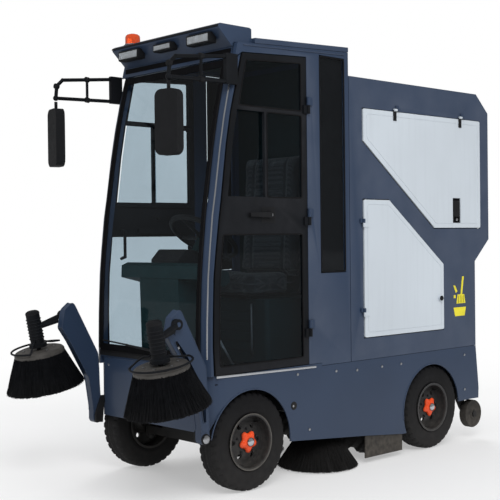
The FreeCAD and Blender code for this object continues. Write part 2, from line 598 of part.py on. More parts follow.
# ---- cab doors ------------------------------------------------------------------------------------
DOOR = [(y + 4, z) for y, z in DOOR_FRONT[:-1]] + [(-911, 564), (-298, 564), (-298, 2077)]
DOOR[0] = (-722, 2054)
PANE_LO = [(-334, 602), (-334, 1207), (-855, 1207), (-862, 1138), (-876, 1011), (-883, 820), (-882, 602)]
PANE_MR = [(-334, 1384), (-334, 1788), (-570, 1788), (-570, 1384)]
PANE_MF = [(-586, 1384), (-586, 1788), (-761, 1788), (-764, 1770), (-792, 1620), (-824, 1384)]
PANE_UP = [(-334, 1810), (-334, 2044), (-700, 2024), (-728, 1906), (-750, 1810)]
dframe = prism("door_frame", "yz", DOOR, 424, 440, holes=[PANE_LO, PANE_MR, PANE_MF, PANE_UP])
dk = []
for i, z in enumerate((700, 1250, 1800)):
    dk += [cyl("door_knuckle%d" % i, "z", z, z + 40, 450, -293, 9), box("door_leaf%d" % i, 440, 450, -325, -293, z, z + 40)]
grab = tube("grab_rail", [(426, -800, 1090), (392, -800, 1100), (392, -800, 1230), (426, -800, 1240)], 8)
rest = box("arm_ledge", 400, 426, -700, -360, 1225, 1245)
track_lo = box("window_track_lo", 408, 425, -840, -330, 1362, 1378)
track_up = box("window_track_up", 408, 425, -740, -330, 1794, 1808)
dfr = fuse("door_fuse", [dframe] + dk + [grab, rest, track_lo, track_up])
node("left_door_frame", dfr)
node("right_door_frame", mirror("right_door_frame_m", dfr))
panes = comp("door_panes", [prism("pane_%d" % i, "yz", shrink(p, 0.5), 429, 434) for i, p in enumerate((PANE_LO, PANE_MR, PANE_UP))])
node("left_door_glass", panes)
node("right_door_glass", mirror("right_door_glass_m", panes))
sash = prism("sliding_sash", "yz", [(-574, 1380), (-574, 1792), (-757, 1792), (-761, 1772), (-788, 1622), (-822, 1380)], 412, 420)
pull = box("sash_pull", 404, 412, -600, -585, 1540, 1620)
sash_f = fuse("sash_fuse", [sash, pull])
node("left_sliding_window", sash_f)
node("right_sliding_window", mirror("right_sliding_window_m", sash_f))
hnd = fuse("handle_fuse", [cyl("handle_boss", "x", 441, 456, -560, 1300, 17), prism("handle_grip", "yz", [(-700, 1291), (-560, 1286),
                           (-560, 1314), (-700, 1309)], 448, 462, round_r=6, round_at=(0, 3))])
node("left_door_handle", hnd)
node("right_door_handle", mirror("right_door_handle_m", hnd))

# ---- service hatches and the rear gate ---------------------------------------------------------------
hinge_r = 7
up_bits = [prism("upper_hatch", "yz", UP, 436, 445, round_r=10, round_at=(0, 1, 2))]
up_body = []
for i, y in enumerate((391, 979)):
    up_bits += [cyl("up_knuckle%d" % i, "y", y - 22, y, 452, 1868, hinge_r), box("up_leaf%d" % i, 445, 449, y - 22, y, 1812, 1868)]
    up_body += [cyl("up_bodyk%d" % i, "y", y + 1, y + 22, 452, 1868, hinge_r), box("up_bodyleaf%d" % i, 438, 449, y + 1, y + 22, 1866, 1893)]
uh = cut("upper_hatch_cut", fuse("upper_hatch_f", up_bits), [box("latch_slot", 440, 450, 896, 970, 1263, 1406)])
node("left_upper_hatch", uh)
node("right_upper_hatch", mirror("right_upper_hatch_m", uh))
lo_bits = [prism("lower_hatch", "yz", LO, 436, 445, round_r=10, round_at=(0, 1, 3, 4))]
for i, z in enumerate((1262, 796)):
    lo_bits += [cyl("lo_knuckle%d" % i, "z", z - 22, z, 452, 114, hinge_r), box("lo_leaf%d" % i, 445, 449, 114, 160, z - 22, z)]
    up_body += [cyl("lo_bodyk%d" % i, "z", z + 1, z + 22, 452, 114, hinge_r), box("lo_bodyleaf%d" % i, 438, 449, 92, 114, z + 1, z + 22)]
lo_bits.append(cyl("lo_latch", "x", 440, 456, 764, 840, 14))
lh = fuse("lower_hatch_f", lo_bits)
node("left_lower_hatch", lh)
node("right_lower_hatch", mirror("right_lower_hatch_m", lh))
gate = [prism("gate_skin", "xz", [(-368, 1232), (368, 1232), (368, 1868), (-368, 1868)], 1249, 1258, round_r=12),
        prism("gate_rib", "xz", [(-300, 1300), (300, 1300), (300, 1320), (-300, 1320)], 1257, 1264)]
gate_body = []
for i, x in enumerate((-240, 0, 240)):
    gate += [cyl("gate_knuckle%d" % i, "x", x - 26, x, 1262, 1876, hinge_r), box("gate_leaf%d" % i, x - 26, x, 1256, 1260, 1820, 1876)]
    gate_body += [cyl("gate_bodyk%d" % i, "x", x + 1, x + 26, 1262, 1876, hinge_r), box("gate_bodyleaf%d" % i, x + 1, x + 26, 1252, 1260, 1876, 1900)]
gate += [cyl("gate_handle_boss", "y", 1256, 1270, 0, 1270, 14)]
node("rear_gate", fuse("gate_fuse", gate))
hopper_all = fuse("hopper_all", [hopper] + [o for k, b in enumerate(up_body) for o in pair("hb%d" % k, b)] + gate_body)
node("hopper_shell", hopper_all)

# ---- controls ------------------------------------------------------------------------------------------
rim_c = on_col(22)
sw_rot = Rot(V(0, 0, 1), col_dir)
torus = doc.addObject("Part::Torus", "wheel_rim")
tr1, tr2 = q("wheel_rim", "major", 178), q("wheel_rim", "minor", 13)
torus.Radius1, torus.Radius2 = tr1.v, tr2.v
bind(torus, "Radius1", tr1.e)
bind(torus, "Radius2", tr2.e)
place(torus, q("wheel_rim", "x", rim_c[0]), q("wheel_rim", "y", rim_c[1]), q("wheel_rim", "z", rim_c[2]), sw_rot)
sw = [torus, rod("wheel_hub", on_col(3), on_col(24), 38), rod("wheel_shaft", on_col(-62), on_col(6), 10)]
e1, e2 = sw_rot.multVec(V(1, 0, 0)), sw_rot.multVec(V(0, 1, 0))
for i, a in enumerate((0, 180, 270)):
    d = e1 * math.cos(math.radians(a)) + e2 * math.sin(math.radians(a))
    c0 = V(*on_col(14))
    c1 = V(*rim_c)
    sw.append(rod("wheel_spoke%d" % i, tuple(c0 + d * 30), tuple(c1 + d * 172), 9))
node("steering_wheel", fuse("steering_fuse", sw))
PED = [(-640, 570), (-630, 576), (-716, 704), (-728, 698)]
acc = fuse("accelerator_f", [prism("accelerator", "yz", PED, 195, 255), cyl("accelerator_pin", "x", 190, 260, -636, 574, 9)])
brk = fuse("brake_f", [prism("brake", "yz", PED, -265, -185), cyl("brake_pin", "x", -270, -180, -636, 574, 9)])
node("accelerator_pedal", acc)
node("brake_pedal", brk)
stop = fuse("stop_f", [cyl("stop_stem", "z", 1037, 1064, 205, -770, 8), spin("stop_head", "z", [(0, 1062), (21, 1062), (23, 1068), (18, 1077), (0, 1080)],
                                                                          0, 205, -770)])
node("stop_button", stop)

# ---- seat (soft closed solids) ---------------------------------------------------------------------------
cush = prism("seat_cushion", "xy", [(-235, -500), (235, -500), (235, -180), (-235, -180)], 903, 1012, round_r=40)
node("seat_cushion", cush)
backr = prism("seat_back", "yz", [(-160, 1000), (-84, 1000), (-22, 1600), (-48, 1640), (-100, 1640), (-118, 1600)], -225, 225, round_r=16,
              round_at=(0, 1, 2, 3, 4, 5))
back_pivot = cyl("back_pivot", "x", -200, 200, -115, 985, 18)
node("seat_back", fuse("seat_back_fuse", [backr, back_pivot]))

# ---- wiper, mirrors, lamps, beacon, skirts, fasteners ------------------------------------------------------
wp = [rod("wiper_arm", (60, -977, 655), (-150, -977, 672), 5), rod("wiper_blade", (-350, -975, 684), (30, -975, 662), 4),
      rod("wiper_boss", (60, -983.99, 655.4), (60, -972.01, 654.72), 13), cyl("wiper_link", "y", -979, -972, -150, 672, 6)]
node("wiper", fuse("wiper_fuse", wp))
mb_bits = [box("mirror_block", 438.2, 459, -841, -770.5, 1898, 2038),
           tube("mirror_up", [(449, -835, 2023), (449, -1130, 1992), (449, -1165, 1960), (449, -1171, 1898)], 9),
           rod("mirror_low", (449, -835, 1909), (449, -1166, 1898.3), 9), rod("mirror_cross", (449, -984, 2006), (449, -984, 1905), 7),
           ball("mirror_ball", 449.2, -1171, 1898.3, 14)]
mbr = fuse("mirror_bracket_f", mb_bits)
node("mirror_brackets", comp("mirror_brackets_c", pair("mirror_bracket_f", mbr)))
mir_rot = Rot(V(0, 0, 1), 13)
head_y = -1150
mh = prism("mirror_head", "xz", [(-62, -144), (62, -144), (62, 144), (-62, 144)], 0, 46, round_r=34)
place(mh, q("mirror_head", "px", 449 - 23 * math.sin(math.radians(13))), q("mirror_head", "py", -1171 + 23 * math.cos(math.radians(13))),
      q("mirror_head", "pz", 1700), mir_rot)
mh_all = fuse("mirror_head_f", [mh, cyl("mirror_stem", "z", 1836, 1880, 449, -1171, 8)])
node("left_mirror_head", mh_all)
node("right_mirror_head", mirror("right_mirror_head_m", mh_all))
lamp = box("roof_lamp", 190, 355, -852, -808, 2100, 2150)
lamp_mid = box("roof_lamp_mid", -70, 70, -850, -808, 2108, 2146)
node("roof_lamps", comp("roof_lamps_c", pair("roof_lamp", lamp) + [lamp_mid]))
beacon = spin("beacon", "z", [(0, 2182.5), (44, 2182.5), (44, 2192), (38, 2194), (37, 2232), (28, 2245), (0, 2248)], 0, -330, -780)
node("beacon", beacon)
skirt = box("rubber_skirt", 427, 434, 127, 432, 30, 160)
node("rubber_skirts", comp("rubber_skirts_c", pair("rubber_skirt", skirt)))
bolts = []
for i, (y, z) in enumerate([(-380, 520), (-100, 510), (60, 500), (260, 500), (420, 500), (-414, 369), (1000, 500), (1000, 300), (-300, 240)]):
    b = spin("bolt%d" % i, "x", [(0, 0), (7, 0), (7, 2), (5, 4), (0, 4)], 440.05, y, z)
    bolts += pair("bolt%d" % i, b)
node("body_fasteners", comp("body_fasteners_c", bolts))

# ---- bind every size to the sheet, recompute, check, write ---------------------------------------------------
doc.recompute()
for obj, prop, expr in BINDINGS:
    obj.setExpression(prop, expr)
doc.recompute()
bad = [o.Name for o in doc.Objects if "Invalid" in o.State or "Error" in o.State]
for name, o in NODES.items():
    s = o.Shape
    if s.isNull() or not s.isValid() or s.Volume < 1:
        bad.append("shape:" + name)
for name, pieces in (("hopper_shell", (hop_out, hopper)), ("lower_body_panels", (low_a, low)), ("dust_bin", (bin_out, NODES["dust_bin"]))):
    if not pieces[1].Shape.Volume < 0.5 * pieces[0].Shape.Volume:
        bad.append("not hollow:" + name)
if bad:
    raise RuntimeError("failed objects: %s" % bad)
os.makedirs("parts", exist_ok=True)
for name, o in NODES.items():
    o.Shape.exportStep("parts/%s.step" % name)
box_all = FreeCAD.BoundBox()
for name, o in NODES.items():
    box_all.add(o.Shape.BoundBox)
    print("%-24s solids %2d  vol %.4f dm3" % (name, len(o.Shape.Solids), o.Shape.Volume / 1e6))
print("nodes", len(NODES), "box", box_all)
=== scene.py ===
import bpy, bmesh, json, math, random
from mathutils import Vector, Matrix


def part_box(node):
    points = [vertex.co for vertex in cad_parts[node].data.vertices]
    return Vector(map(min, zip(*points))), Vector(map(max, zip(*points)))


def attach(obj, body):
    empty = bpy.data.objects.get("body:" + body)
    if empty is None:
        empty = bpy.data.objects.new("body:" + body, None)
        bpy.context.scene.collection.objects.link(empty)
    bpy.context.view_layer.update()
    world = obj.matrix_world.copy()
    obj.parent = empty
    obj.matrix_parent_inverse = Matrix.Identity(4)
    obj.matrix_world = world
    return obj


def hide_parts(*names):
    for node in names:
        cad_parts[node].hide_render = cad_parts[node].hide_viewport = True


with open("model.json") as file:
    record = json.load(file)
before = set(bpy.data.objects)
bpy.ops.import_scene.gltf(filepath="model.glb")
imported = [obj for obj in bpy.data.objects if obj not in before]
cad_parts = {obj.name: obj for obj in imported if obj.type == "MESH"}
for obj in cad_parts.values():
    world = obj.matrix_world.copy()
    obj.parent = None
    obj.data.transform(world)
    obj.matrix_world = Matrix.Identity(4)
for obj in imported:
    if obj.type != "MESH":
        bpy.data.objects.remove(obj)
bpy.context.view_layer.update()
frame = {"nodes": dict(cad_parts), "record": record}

N = frame["nodes"]
REC = frame["record"]
SC = bpy.context.scene
COL = SC.collection
YO = 0.0756
MM = 0.001


def P(x, y, z):
    """Machine millimetres (Y from mid-wheelbase) to row-frame metres."""
    return Vector((x * MM, y * MM + YO, z * MM))


# ------------------------------------------------------------------------------ materials
def shader(name, base, rough=0.5, metal=0.0, var=0.08, scale=9.0, bump=0.05, bscale=260.0, coat=0.0, wear=0.0, wear_col=(0.5, 0.5, 0.52),
           dust=0.0, dust_z=0.7, dust_col=(0.30, 0.27, 0.23), rvar=0.12, detail=6.0, streak=0.0, kind="noise", sheen=0.0, alpha=None,
           trans=0.0, ior=1.45, emit=0.0, bdist=0.002, spec=0.5):
    m = bpy.data.materials.new(name)
    m.use_nodes = True
    nt = m.node_tree
    nd, lk = nt.nodes, nt.links
    b = nd["Principled BSDF"]
    b.inputs["Roughness"].default_value = rough
    b.inputs["Metallic"].default_value = metal
    b.inputs["Coat Weight"].default_value = coat
    b.inputs["Coat Roughness"].default_value = 0.12
    b.inputs["IOR"].default_value = ior
    b.inputs["Specular IOR Level"].default_value = spec
    if sheen:
        b.inputs["Sheen Weight"].default_value = sheen
    if trans:
        b.inputs["Transmission Weight"].default_value = trans
    if emit:
        b.inputs["Emission Color"].default_value = (*base, 1)
        b.inputs["Emission Strength"].default_value = emit
    tc = nd.new("ShaderNodeTexCoord")
    src = tc.outputs["Object"]
    n1 = nd.new("ShaderNodeTexNoise")
    n1.inputs["Scale"].default_value = scale
    n1.inputs["Detail"].default_value = detail
    lk.new(src, n1.inputs["Vector"])
    mr = nd.new("ShaderNodeMapRange")
    mr.inputs["From Min"].default_value = 0.3
    mr.inputs["From Max"].default_value = 0.7
    mr.inputs["To Min"].default_value = 1 - var
    mr.inputs["To Max"].default_value = 1 + var
    lk.new(n1.outputs["Fac"], mr.inputs["Value"])
    vm = nd.new("ShaderNodeVectorMath")
    vm.operation = "SCALE"
    vm.inputs[0].default_value = base
    lk.new(mr.outputs["Result"], vm.inputs["Scale"])
    col = vm.outputs["Vector"]
    rr = nd.new("ShaderNodeMapRange")
    rr.inputs["From Min"].default_value = 0.3
    rr.inputs["From Max"].default_value = 0.7
    rr.inputs["To Min"].default_value = max(0.02, rough * (1 - rvar))
    rr.inputs["To Max"].default_value = min(1.0, rough * (1 + rvar))
    n2 = nd.new("ShaderNodeTexNoise")
    n2.inputs["Scale"].default_value = scale * 3.1
    n2.inputs["Detail"].default_value = 4
    lk.new(src, n2.inputs["Vector"])
    lk.new(n2.outputs["Fac"], rr.inputs["Value"])
    lk.new(rr.outputs["Result"], b.inputs["Roughness"])
    geo = nd.new("ShaderNodeNewGeometry")
    if streak:
        mp = nd.new("ShaderNodeMapping")
        mp.inputs["Scale"].default_value = (1, 1, 0.06)
        ns = nd.new("ShaderNodeTexNoise")
        ns.inputs["Scale"].default_value = 34
        lk.new(src, mp.inputs["Vector"])
        lk.new(mp.outputs["Vector"], ns.inputs["Vector"])
        sm = nd.new("ShaderNodeMapRange")
        sm.inputs["From Min"].default_value = 0.5
        sm.inputs["From Max"].default_value = 0.8
        sm.inputs["To Max"].default_value = streak
        lk.new(ns.outputs["Fac"], sm.inputs["Value"])
        mx = nd.new("ShaderNodeMix")
        mx.data_type = "RGBA"
        lk.new(sm.outputs["Result"], mx.inputs["Factor"])
        lk.new(col, mx.inputs["A"])
        mx.inputs["B"].default_value = (base[0] * 0.55, base[1] * 0.55, base[2] * 0.55, 1)
        col = mx.outputs["Result"]
    if wear:
        wr = nd.new("ShaderNodeMapRange")
        wr.inputs["From Min"].default_value = 0.53
        wr.inputs["From Max"].default_value = 0.62
        wr.inputs["To Max"].default_value = wear
        lk.new(geo.outputs["Pointiness"], wr.inputs["Value"])
        mu = nd.new("ShaderNodeMath")
        mu.operation = "MULTIPLY"
        lk.new(wr.outputs["Result"], mu.inputs[0])
        lk.new(n2.outputs["Fac"], mu.inputs[1])
        mx = nd.new("ShaderNodeMix")
        mx.data_type = "RGBA"
        lk.new(mu.outputs["Value"], mx.inputs["Factor"])
        lk.new(col, mx.inputs["A"])
        mx.inputs["B"].default_value = (*wear_col, 1)
        col = mx.outputs["Result"]
    if dust:
        sx = nd.new("ShaderNodeSeparateXYZ")
        lk.new(src, sx.inputs["Vector"])
        dz = nd.new("ShaderNodeMapRange")
        dz.inputs["From Min"].default_value = dust_z
        dz.inputs["From Max"].default_value = 0.05
        dz.inputs["To Max"].default_value = dust
        lk.new(sx.outputs["Z"], dz.inputs["Value"])
        mu = nd.new("ShaderNodeMath")
        mu.operation = "MULTIPLY"
        lk.new(dz.outputs["Result"], mu.inputs[0])
        lk.new(n2.outputs["Fac"], mu.inputs[1])
        mx = nd.new("ShaderNodeMix")
        mx.data_type = "RGBA"
        lk.new(mu.outputs["Value"], mx.inputs["Factor"])
        lk.new(col, mx.inputs["A"])
        mx.inputs["B"].default_value = (*dust_col, 1)
        col = mx.outputs["Result"]
    lk.new(col, b.inputs["Base Color"])
    if bump:
        bp = nd.new("ShaderNodeBump")
        bp.inputs["Strength"].default_value = bump
        bp.inputs["Distance"].default_value = bdist
        if kind == "noise":
            t = nd.new("ShaderNodeTexNoise")
            t.inputs["Scale"].default_value = bscale
            t.inputs["Detail"].default_value = 3
            lk.new(src, t.inputs["Vector"])
            lk.new(t.outputs["Fac"], bp.inputs["Height"])
        elif kind == "grain":
            t = nd.new("ShaderNodeTexVoronoi")
            t.inputs["Scale"].default_value = bscale
            lk.new(src, t.inputs["Vector"])
            lk.new(t.outputs["Distance"], bp.inputs["Height"])
        elif kind == "weave":
            w1 = nd.new("ShaderNodeTexWave")
            w2 = nd.new("ShaderNodeTexWave")
            w1.bands_direction, w2.bands_direction = "X", "Y"
            for w in (w1, w2):
                w.inputs["Scale"].default_value = bscale
                w.inputs["Distortion"].default_value = 0.6
                lk.new(src, w.inputs["Vector"])
            ad = nd.new("ShaderNodeMath")
            ad.operation = "MULTIPLY"
            lk.new(w1.outputs["Fac"], ad.inputs[0])
            lk.new(w2.outputs["Fac"], ad.inputs[1])
            lk.new(ad.outputs["Value"], bp.inputs["Height"])
        elif kind == "brushed":
            mp = nd.new("ShaderNodeMapping")
            mp.inputs["Scale"].default_value = (1, 0.04, 1)
            t = nd.new("ShaderNodeTexNoise")
            t.inputs["Scale"].default_value = bscale
            lk.new(src, mp.inputs["Vector"])
            lk.new(mp.outputs["Vector"], t.inputs["Vector"])
            lk.new(t.outputs["Fac"], bp.inputs["Height"])
        lk.new(bp.outputs["Normal"], b.inputs["Normal"])
        if coat:
            lk.new(bp.outputs["Normal"], b.inputs["Coat Normal"])
    return m


def glass(name, tint, density, rough=0.02, mirror=0.10):
    """Thin tinted glass: mostly see-through, with a Fresnel reflection and faint smears."""
    m = bpy.data.materials.new(name)
    m.use_nodes = True
    nt = m.node_tree
    nd, lk = nt.nodes, nt.links
    nd.remove(nd["Principled BSDF"])
    out = nd["Material Output"]
    tr = nd.new("ShaderNodeBsdfTransparent")
    gl = nd.new("ShaderNodeBsdfGlossy")
    gl.inputs["Roughness"].default_value = rough
    gl.inputs["Color"].default_value = (0.9, 0.95, 1.0, 1)
    df = nd.new("ShaderNodeBsdfDiffuse")
    df.inputs["Color"].default_value = (tint[0] * 0.25, tint[1] * 0.25, tint[2] * 0.25, 1)
    tc = nd.new("ShaderNodeTexCoord")
    no = nd.new("ShaderNodeTexNoise")
    no.inputs["Scale"].default_value = 3.0
    no.inputs["Detail"].default_value = 6
    lk.new(tc.outputs["Object"], no.inputs["Vector"])
    mr = nd.new("ShaderNodeMapRange")
    mr.inputs["From Min"].default_value = 0.35
    mr.inputs["From Max"].default_value = 0.75
    mr.inputs["To Min"].default_value = 1.0
    mr.inputs["To Max"].default_value = 0.965
    lk.new(no.outputs["Fac"], mr.inputs["Value"])
    vm = nd.new("ShaderNodeVectorMath")
    vm.operation = "SCALE"
    vm.inputs[0].default_value = tint
    lk.new(mr.outputs["Result"], vm.inputs["Scale"])
    lk.new(vm.outputs["Vector"], tr.inputs["Color"])
    m1 = nd.new("ShaderNodeMixShader")
    m1.inputs["Fac"].default_value = density
    lk.new(tr.outputs["BSDF"], m1.inputs[1])
    lk.new(df.outputs["BSDF"], m1.inputs[2])
    fr = nd.new("ShaderNodeFresnel")
    fr.inputs["IOR"].default_value = 1.45
    mm = nd.new("ShaderNodeMath")
    mm.operation = "MULTIPLY"
    mm.inputs[1].default_value = mirror * 10
    mm.use_clamp = True
    gb = nd.new("ShaderNodeNewGeometry")
    ff = nd.new("ShaderNodeMath")
    ff.operation = "SUBTRACT"
    ff.inputs[0].default_value = 1.0
    lk.new(gb.outputs["Backfacing"], ff.inputs[1])
    fo = nd.new("ShaderNodeMath")
    fo.operation = "MULTIPLY"
    lk.new(fr.outputs["Fac"], fo.inputs[0])
    lk.new(ff.outputs["Value"], fo.inputs[1])
    lk.new(fo.outputs["Value"], mm.inputs[0])
    bp = nd.new("ShaderNodeBump")
    bp.inputs["Strength"].default_value = 0.04
    bp.inputs["Distance"].default_value = 0.01
    lk.new(no.outputs["Fac"], bp.inputs["Height"])
    lk.new(bp.outputs["Normal"], gl.inputs["Normal"])
    m2 = nd.new("ShaderNodeMixShader")
    lk.new(mm.outputs["Value"], m2.inputs["Fac"])
    lk.new(m1.outputs["Shader"], m2.inputs[1])
    lk.new(gl.outputs["BSDF"], m2.inputs[2])
    lk.new(m2.outputs["Shader"], out.inputs["Surface"])
    return m


M = {
    "slate": shader("slate_paint", (0.027, 0.045, 0.085), 0.42, 0.0, 0.07, 2.2, 0.03, 320, spec=0.32, coat=0.12, wear=0.3, wear_col=(0.17, 0.19, 0.24), dust=0.12, dust_z=0.6, dust_col=(0.15, 0.15, 0.16)),
    "white": shader("white_panel_paint", (0.56, 0.615, 0.67), 0.36, 0.0, 0.05, 1.6, 0.03, 300, coat=0.3, wear=0.2, wear_col=(0.7, 0.72, 0.75), streak=0.10),
    "frame": shader("black_frame_paint", (0.008, 0.009, 0.011), 0.45, 0.0, 0.18, 6, 0.06, 240, spec=0.12, wear=0.2, wear_col=(0.08, 0.08, 0.09), dust=0.15, dust_z=0.45),
    "plastic": shader("black_plastic", (0.010, 0.0105, 0.012), 0.58, 0.0, 0.12, 14, 0.25, 420, kind="grain", dust=0.1, spec=0.25),
    "rubber": shader("rubber", (0.008, 0.008, 0.009), 0.75, 0.0, 0.15, 12, 0.2, 180, spec=0.2, dust=0.4, dust_z=0.35),
    "tyre": shader("tyre_rubber", (0.007, 0.007, 0.008), 0.66, 0.0, 0.2, 9, 0.25, 150, spec=0.22, dust=0.35, dust_z=0.42, dust_col=(0.09, 0.085, 0.08)),
    "rim": shader("rim_paint", (0.012, 0.0125, 0.0145), 0.42, 0.0, 0.15, 14, 0.08, 200, spec=0.3, coat=0.12, wear=0.5, wear_col=(0.2, 0.2, 0.21), dust=0.2, dust_z=0.5),
    "steel": shader("zinc_steel", (0.48, 0.49, 0.51), 0.34, 1.0, 0.10, 30, 0.1, 300, kind="brushed"),
    "bright": shader("bright_trim", (0.66, 0.68, 0.72), 0.2, 1.0, 0.05, 12, 0.05, 240, kind="brushed"),
    "bristle": shader("nylon_bristle", (0.006, 0.0065, 0.008), 0.5, 0.0, 0.3, 60, 0.1, 300, spec=0.2, dust=0.08, dust_z=0.5),
    "collar": shader("brush_collar", (0.060, 0.056, 0.052), 0.5, 0.0, 0.25, 22, 0.2, 160, dust=0.25, dust_z=0.7),
    "orange": shader("orange_plastic", (0.82, 0.070, 0.008), 0.35, 0.0, 0.10, 30, 0.06, 240, coat=0.3, wear=0.3, wear_col=(0.6, 0.3, 0.2)),
    "lens": shader("beacon_lens", (0.85, 0.09, 0.01), 0.12, 0.0, 0.06, 20, 0.02, 200, coat=0.8, trans=0.35),
    "lamp": shader("lamp_glass", (0.52, 0.55, 0.58), 0.14, 0.0, 0.08, 30, 0.12, 260, coat=0.5, trans=0.55, kind="grain"),
    "red": shader("red_plastic", (0.55, 0.015, 0.012), 0.3, 0.0, 0.08, 25, 0.05, 260, coat=0.5),
    "yellow": shader("yellow_film", (0.80, 0.70, 0.03), 0.4, 0.0, 0.08, 18, 0.04, 300, coat=0.2),
    "fabric": shader("seat_weave", (0.020, 0.021, 0.024), 0.9, 0.0, 0.22, 26, 0.5, 190, kind="weave", sheen=0.35),
    "piping": shader("seat_piping", (0.05, 0.052, 0.057), 0.6, 0.0, 0.12, 40, 0.3, 300),
    "bin": shader("grey_primer", (0.12, 0.125, 0.13), 0.6, 0.0, 0.2, 7, 0.15, 140, dust=0.3, dust_z=1.4),
    "lining": shader("cab_lining", (0.008, 0.026, 0.028), 0.65, 0.0, 0.12, 8, 0.2, 300, kind="grain"),
    "console": shader("console_plastic", (0.006, 0.023, 0.026), 0.6, 0.0, 0.12, 10, 0.2, 380, kind="grain", spec=0.25),
    "dark": shader("inner_black", (0.004, 0.004, 0.005), 0.8, 0.0, 0.2, 8, 0.1, 160, spec=0.15),
    "screen": glass("windscreen_glass", (0.90, 0.935, 0.95), 0.0, mirror=0.06),
    "door_glass": glass("door_glass", (0.68, 0.735, 0.77), 0.0, mirror=0.06),
    "mirror": shader("mirror_silver", (0.75, 0.78, 0.80), 0.04, 1.0, 0.03, 6, 0.01, 60),
}
SLOT = {"slate_paint": "slate", "white_panel": "white", "frame_paint": "frame", "glass": "screen", "black_plastic": "plastic", "rubber": "rubber",
        "tyre": "tyre", "rim": "rim", "steel": "steel", "bristle": "bristle", "orange_lens": "lens", "lamp": "lamp", "red_button": "red",
        "seat_fabric": "fabric", "bin": "bin"}


def smooth(me, on=True):
    me.polygons.foreach_set("use_smooth", [on] * len(me.polygons))


def soften(o, width=0.002, seg=2, angle=38):
    """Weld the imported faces, round the hard edges a little and keep flat faces flat."""
    if "custom_normal" in o.data.attributes:
        o.data.attributes.remove(o.data.attributes["custom_normal"])
    smooth(o.data)
    w = o.modifiers.new("weld", "WELD")
    w.merge_threshold = 0.00002
    b = o.modifiers.new("bevel", "BEVEL")
    b.width = width
    b.segments = seg
    b.limit_method = "ANGLE"
    b.angle_limit = math.radians(angle)
    b.use_clamp_overlap = True
    n = o.modifiers.new("normals", "WEIGHTED_NORMAL")
    n.keep_sharp = True
    n.weight = 80


WIDTH = {"lower_body_panels": 0.0022, "hopper_shell": 0.0022, "cab_frame": 0.003, "cab_roof": 0.006, "dashboard": 0.004, "battery_pack": 0.003,
         "chassis_frame": 0.002, "roof_lamps": 0.004, "beacon": 0.001, "wiper": 0.001, "body_fasteners": 0.0006, "cab_glass": 0.0008,
         "steering_wheel": 0.001, "stop_button": 0.001, "rubber_skirts": 0.001}
for sp in REC["subparts"]:
    o = N[sp["node"]]
    mt = M[SLOT[sp["material_slot"]]]
    if "door_glass" in sp["node"] or "sliding_window" in sp["node"]:
        mt = M["door_glass"]
    elif sp["node"] in ("dashboard", "battery_pack"):
        mt = M["console"]
    elif sp["node"] == "roof_lamps":
        mt = M["plastic"]
    o.data.materials.clear()
    o.data.materials.append(mt)
    soften(o, WIDTH.get(sp["node"], 0.0015))
SMAT = {}


# ------------------------------------------------------------------------------ mesh helpers
def add(name, verts, faces, mat, body, smooth_on=True, bevel=0.0, seg=2):
    me = bpy.data.meshes.new(name)
    me.from_pydata([tuple(v) for v in verts], [], faces)
    me.validate()
    bm = bmesh.new()
    bm.from_mesh(me)
    bmesh.ops.remove_doubles(bm, verts=bm.verts, dist=1e-6)
    bmesh.ops.recalc_face_normals(bm, faces=bm.faces)
    bm.to_mesh(me)
    bm.free()
    o = bpy.data.objects.new(name, me)
    COL.objects.link(o)
    me.materials.append(M[mat])
    smooth(me, smooth_on)
    if bevel:
        b = o.modifiers.new("bevel", "BEVEL")
        b.width = bevel
        b.segments = seg
        b.limit_method = "ANGLE"
        b.angle_limit = math.radians(35)
        n = o.modifiers.new("normals", "WEIGHTED_NORMAL")
        n.keep_sharp = True
        n.weight = 80
    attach(o, body)
    return o


def lathe(profile, steps=48):
    """Verts and faces of a closed (r, h) profile turned about local Z."""
    v, f = [], []
    n = len(profile)
    for i in range(steps):
        a = 2 * math.pi * i / steps
        for r, h in profile:
            v.append((r * math.cos(a), r * math.sin(a), h))
    for i in range(steps):
        j = (i + 1) % steps
        for k in range(n):
            l = (k + 1) % n
            f.append((i * n + k, i * n + l, j * n + l, j * n + k))
    return v, f


def tf(verts, mat):
    return [mat @ Vector(v) for v in verts]


def axis_mat(origin, direction):
    q = Vector((0, 0, 1)).rotation_difference(Vector(direction).normalized())
    return Matrix.Translation(origin) @ q.to_matrix().to_4x4()


def extrude_yz(name, pts, x0, x1, mat, body, bevel=0.0012, seg=2):
    """A plate from a (y, z) polygon in machine mm between x0 and x1."""
    n = len(pts)
    v = [P(x0, y, z) for y, z in pts] + [P(x1, y, z) for y, z in pts]
    f = [tuple(range(n)), tuple(range(2 * n - 1, n - 1, -1))]
    f += [(i, (i + 1) % n, n + (i + 1) % n, n + i) for i in range(n)]
    return add(name, v, f, mat, body, True, bevel, seg)


def slab(name, lo, hi, mat, body, bevel=0.003, seg=3, cuts=0):
    """A rounded block between two corners in machine mm."""
    (x0, y0, z0), (x1, y1, z1) = lo, hi
    c = [(x0, y0, z0), (x1, y0, z0), (x1, y1, z0), (x0, y1, z0), (x0, y0, z1), (x1, y0, z1), (x1, y1, z1), (x0, y1, z1)]
    f = [(0, 3, 2, 1), (4, 5, 6, 7), (0, 1, 5, 4), (1, 2, 6, 5), (2, 3, 7, 6), (3, 0, 4, 7)]
    return add(name, [P(*p) for p in c], f, mat, body, True, bevel, seg)


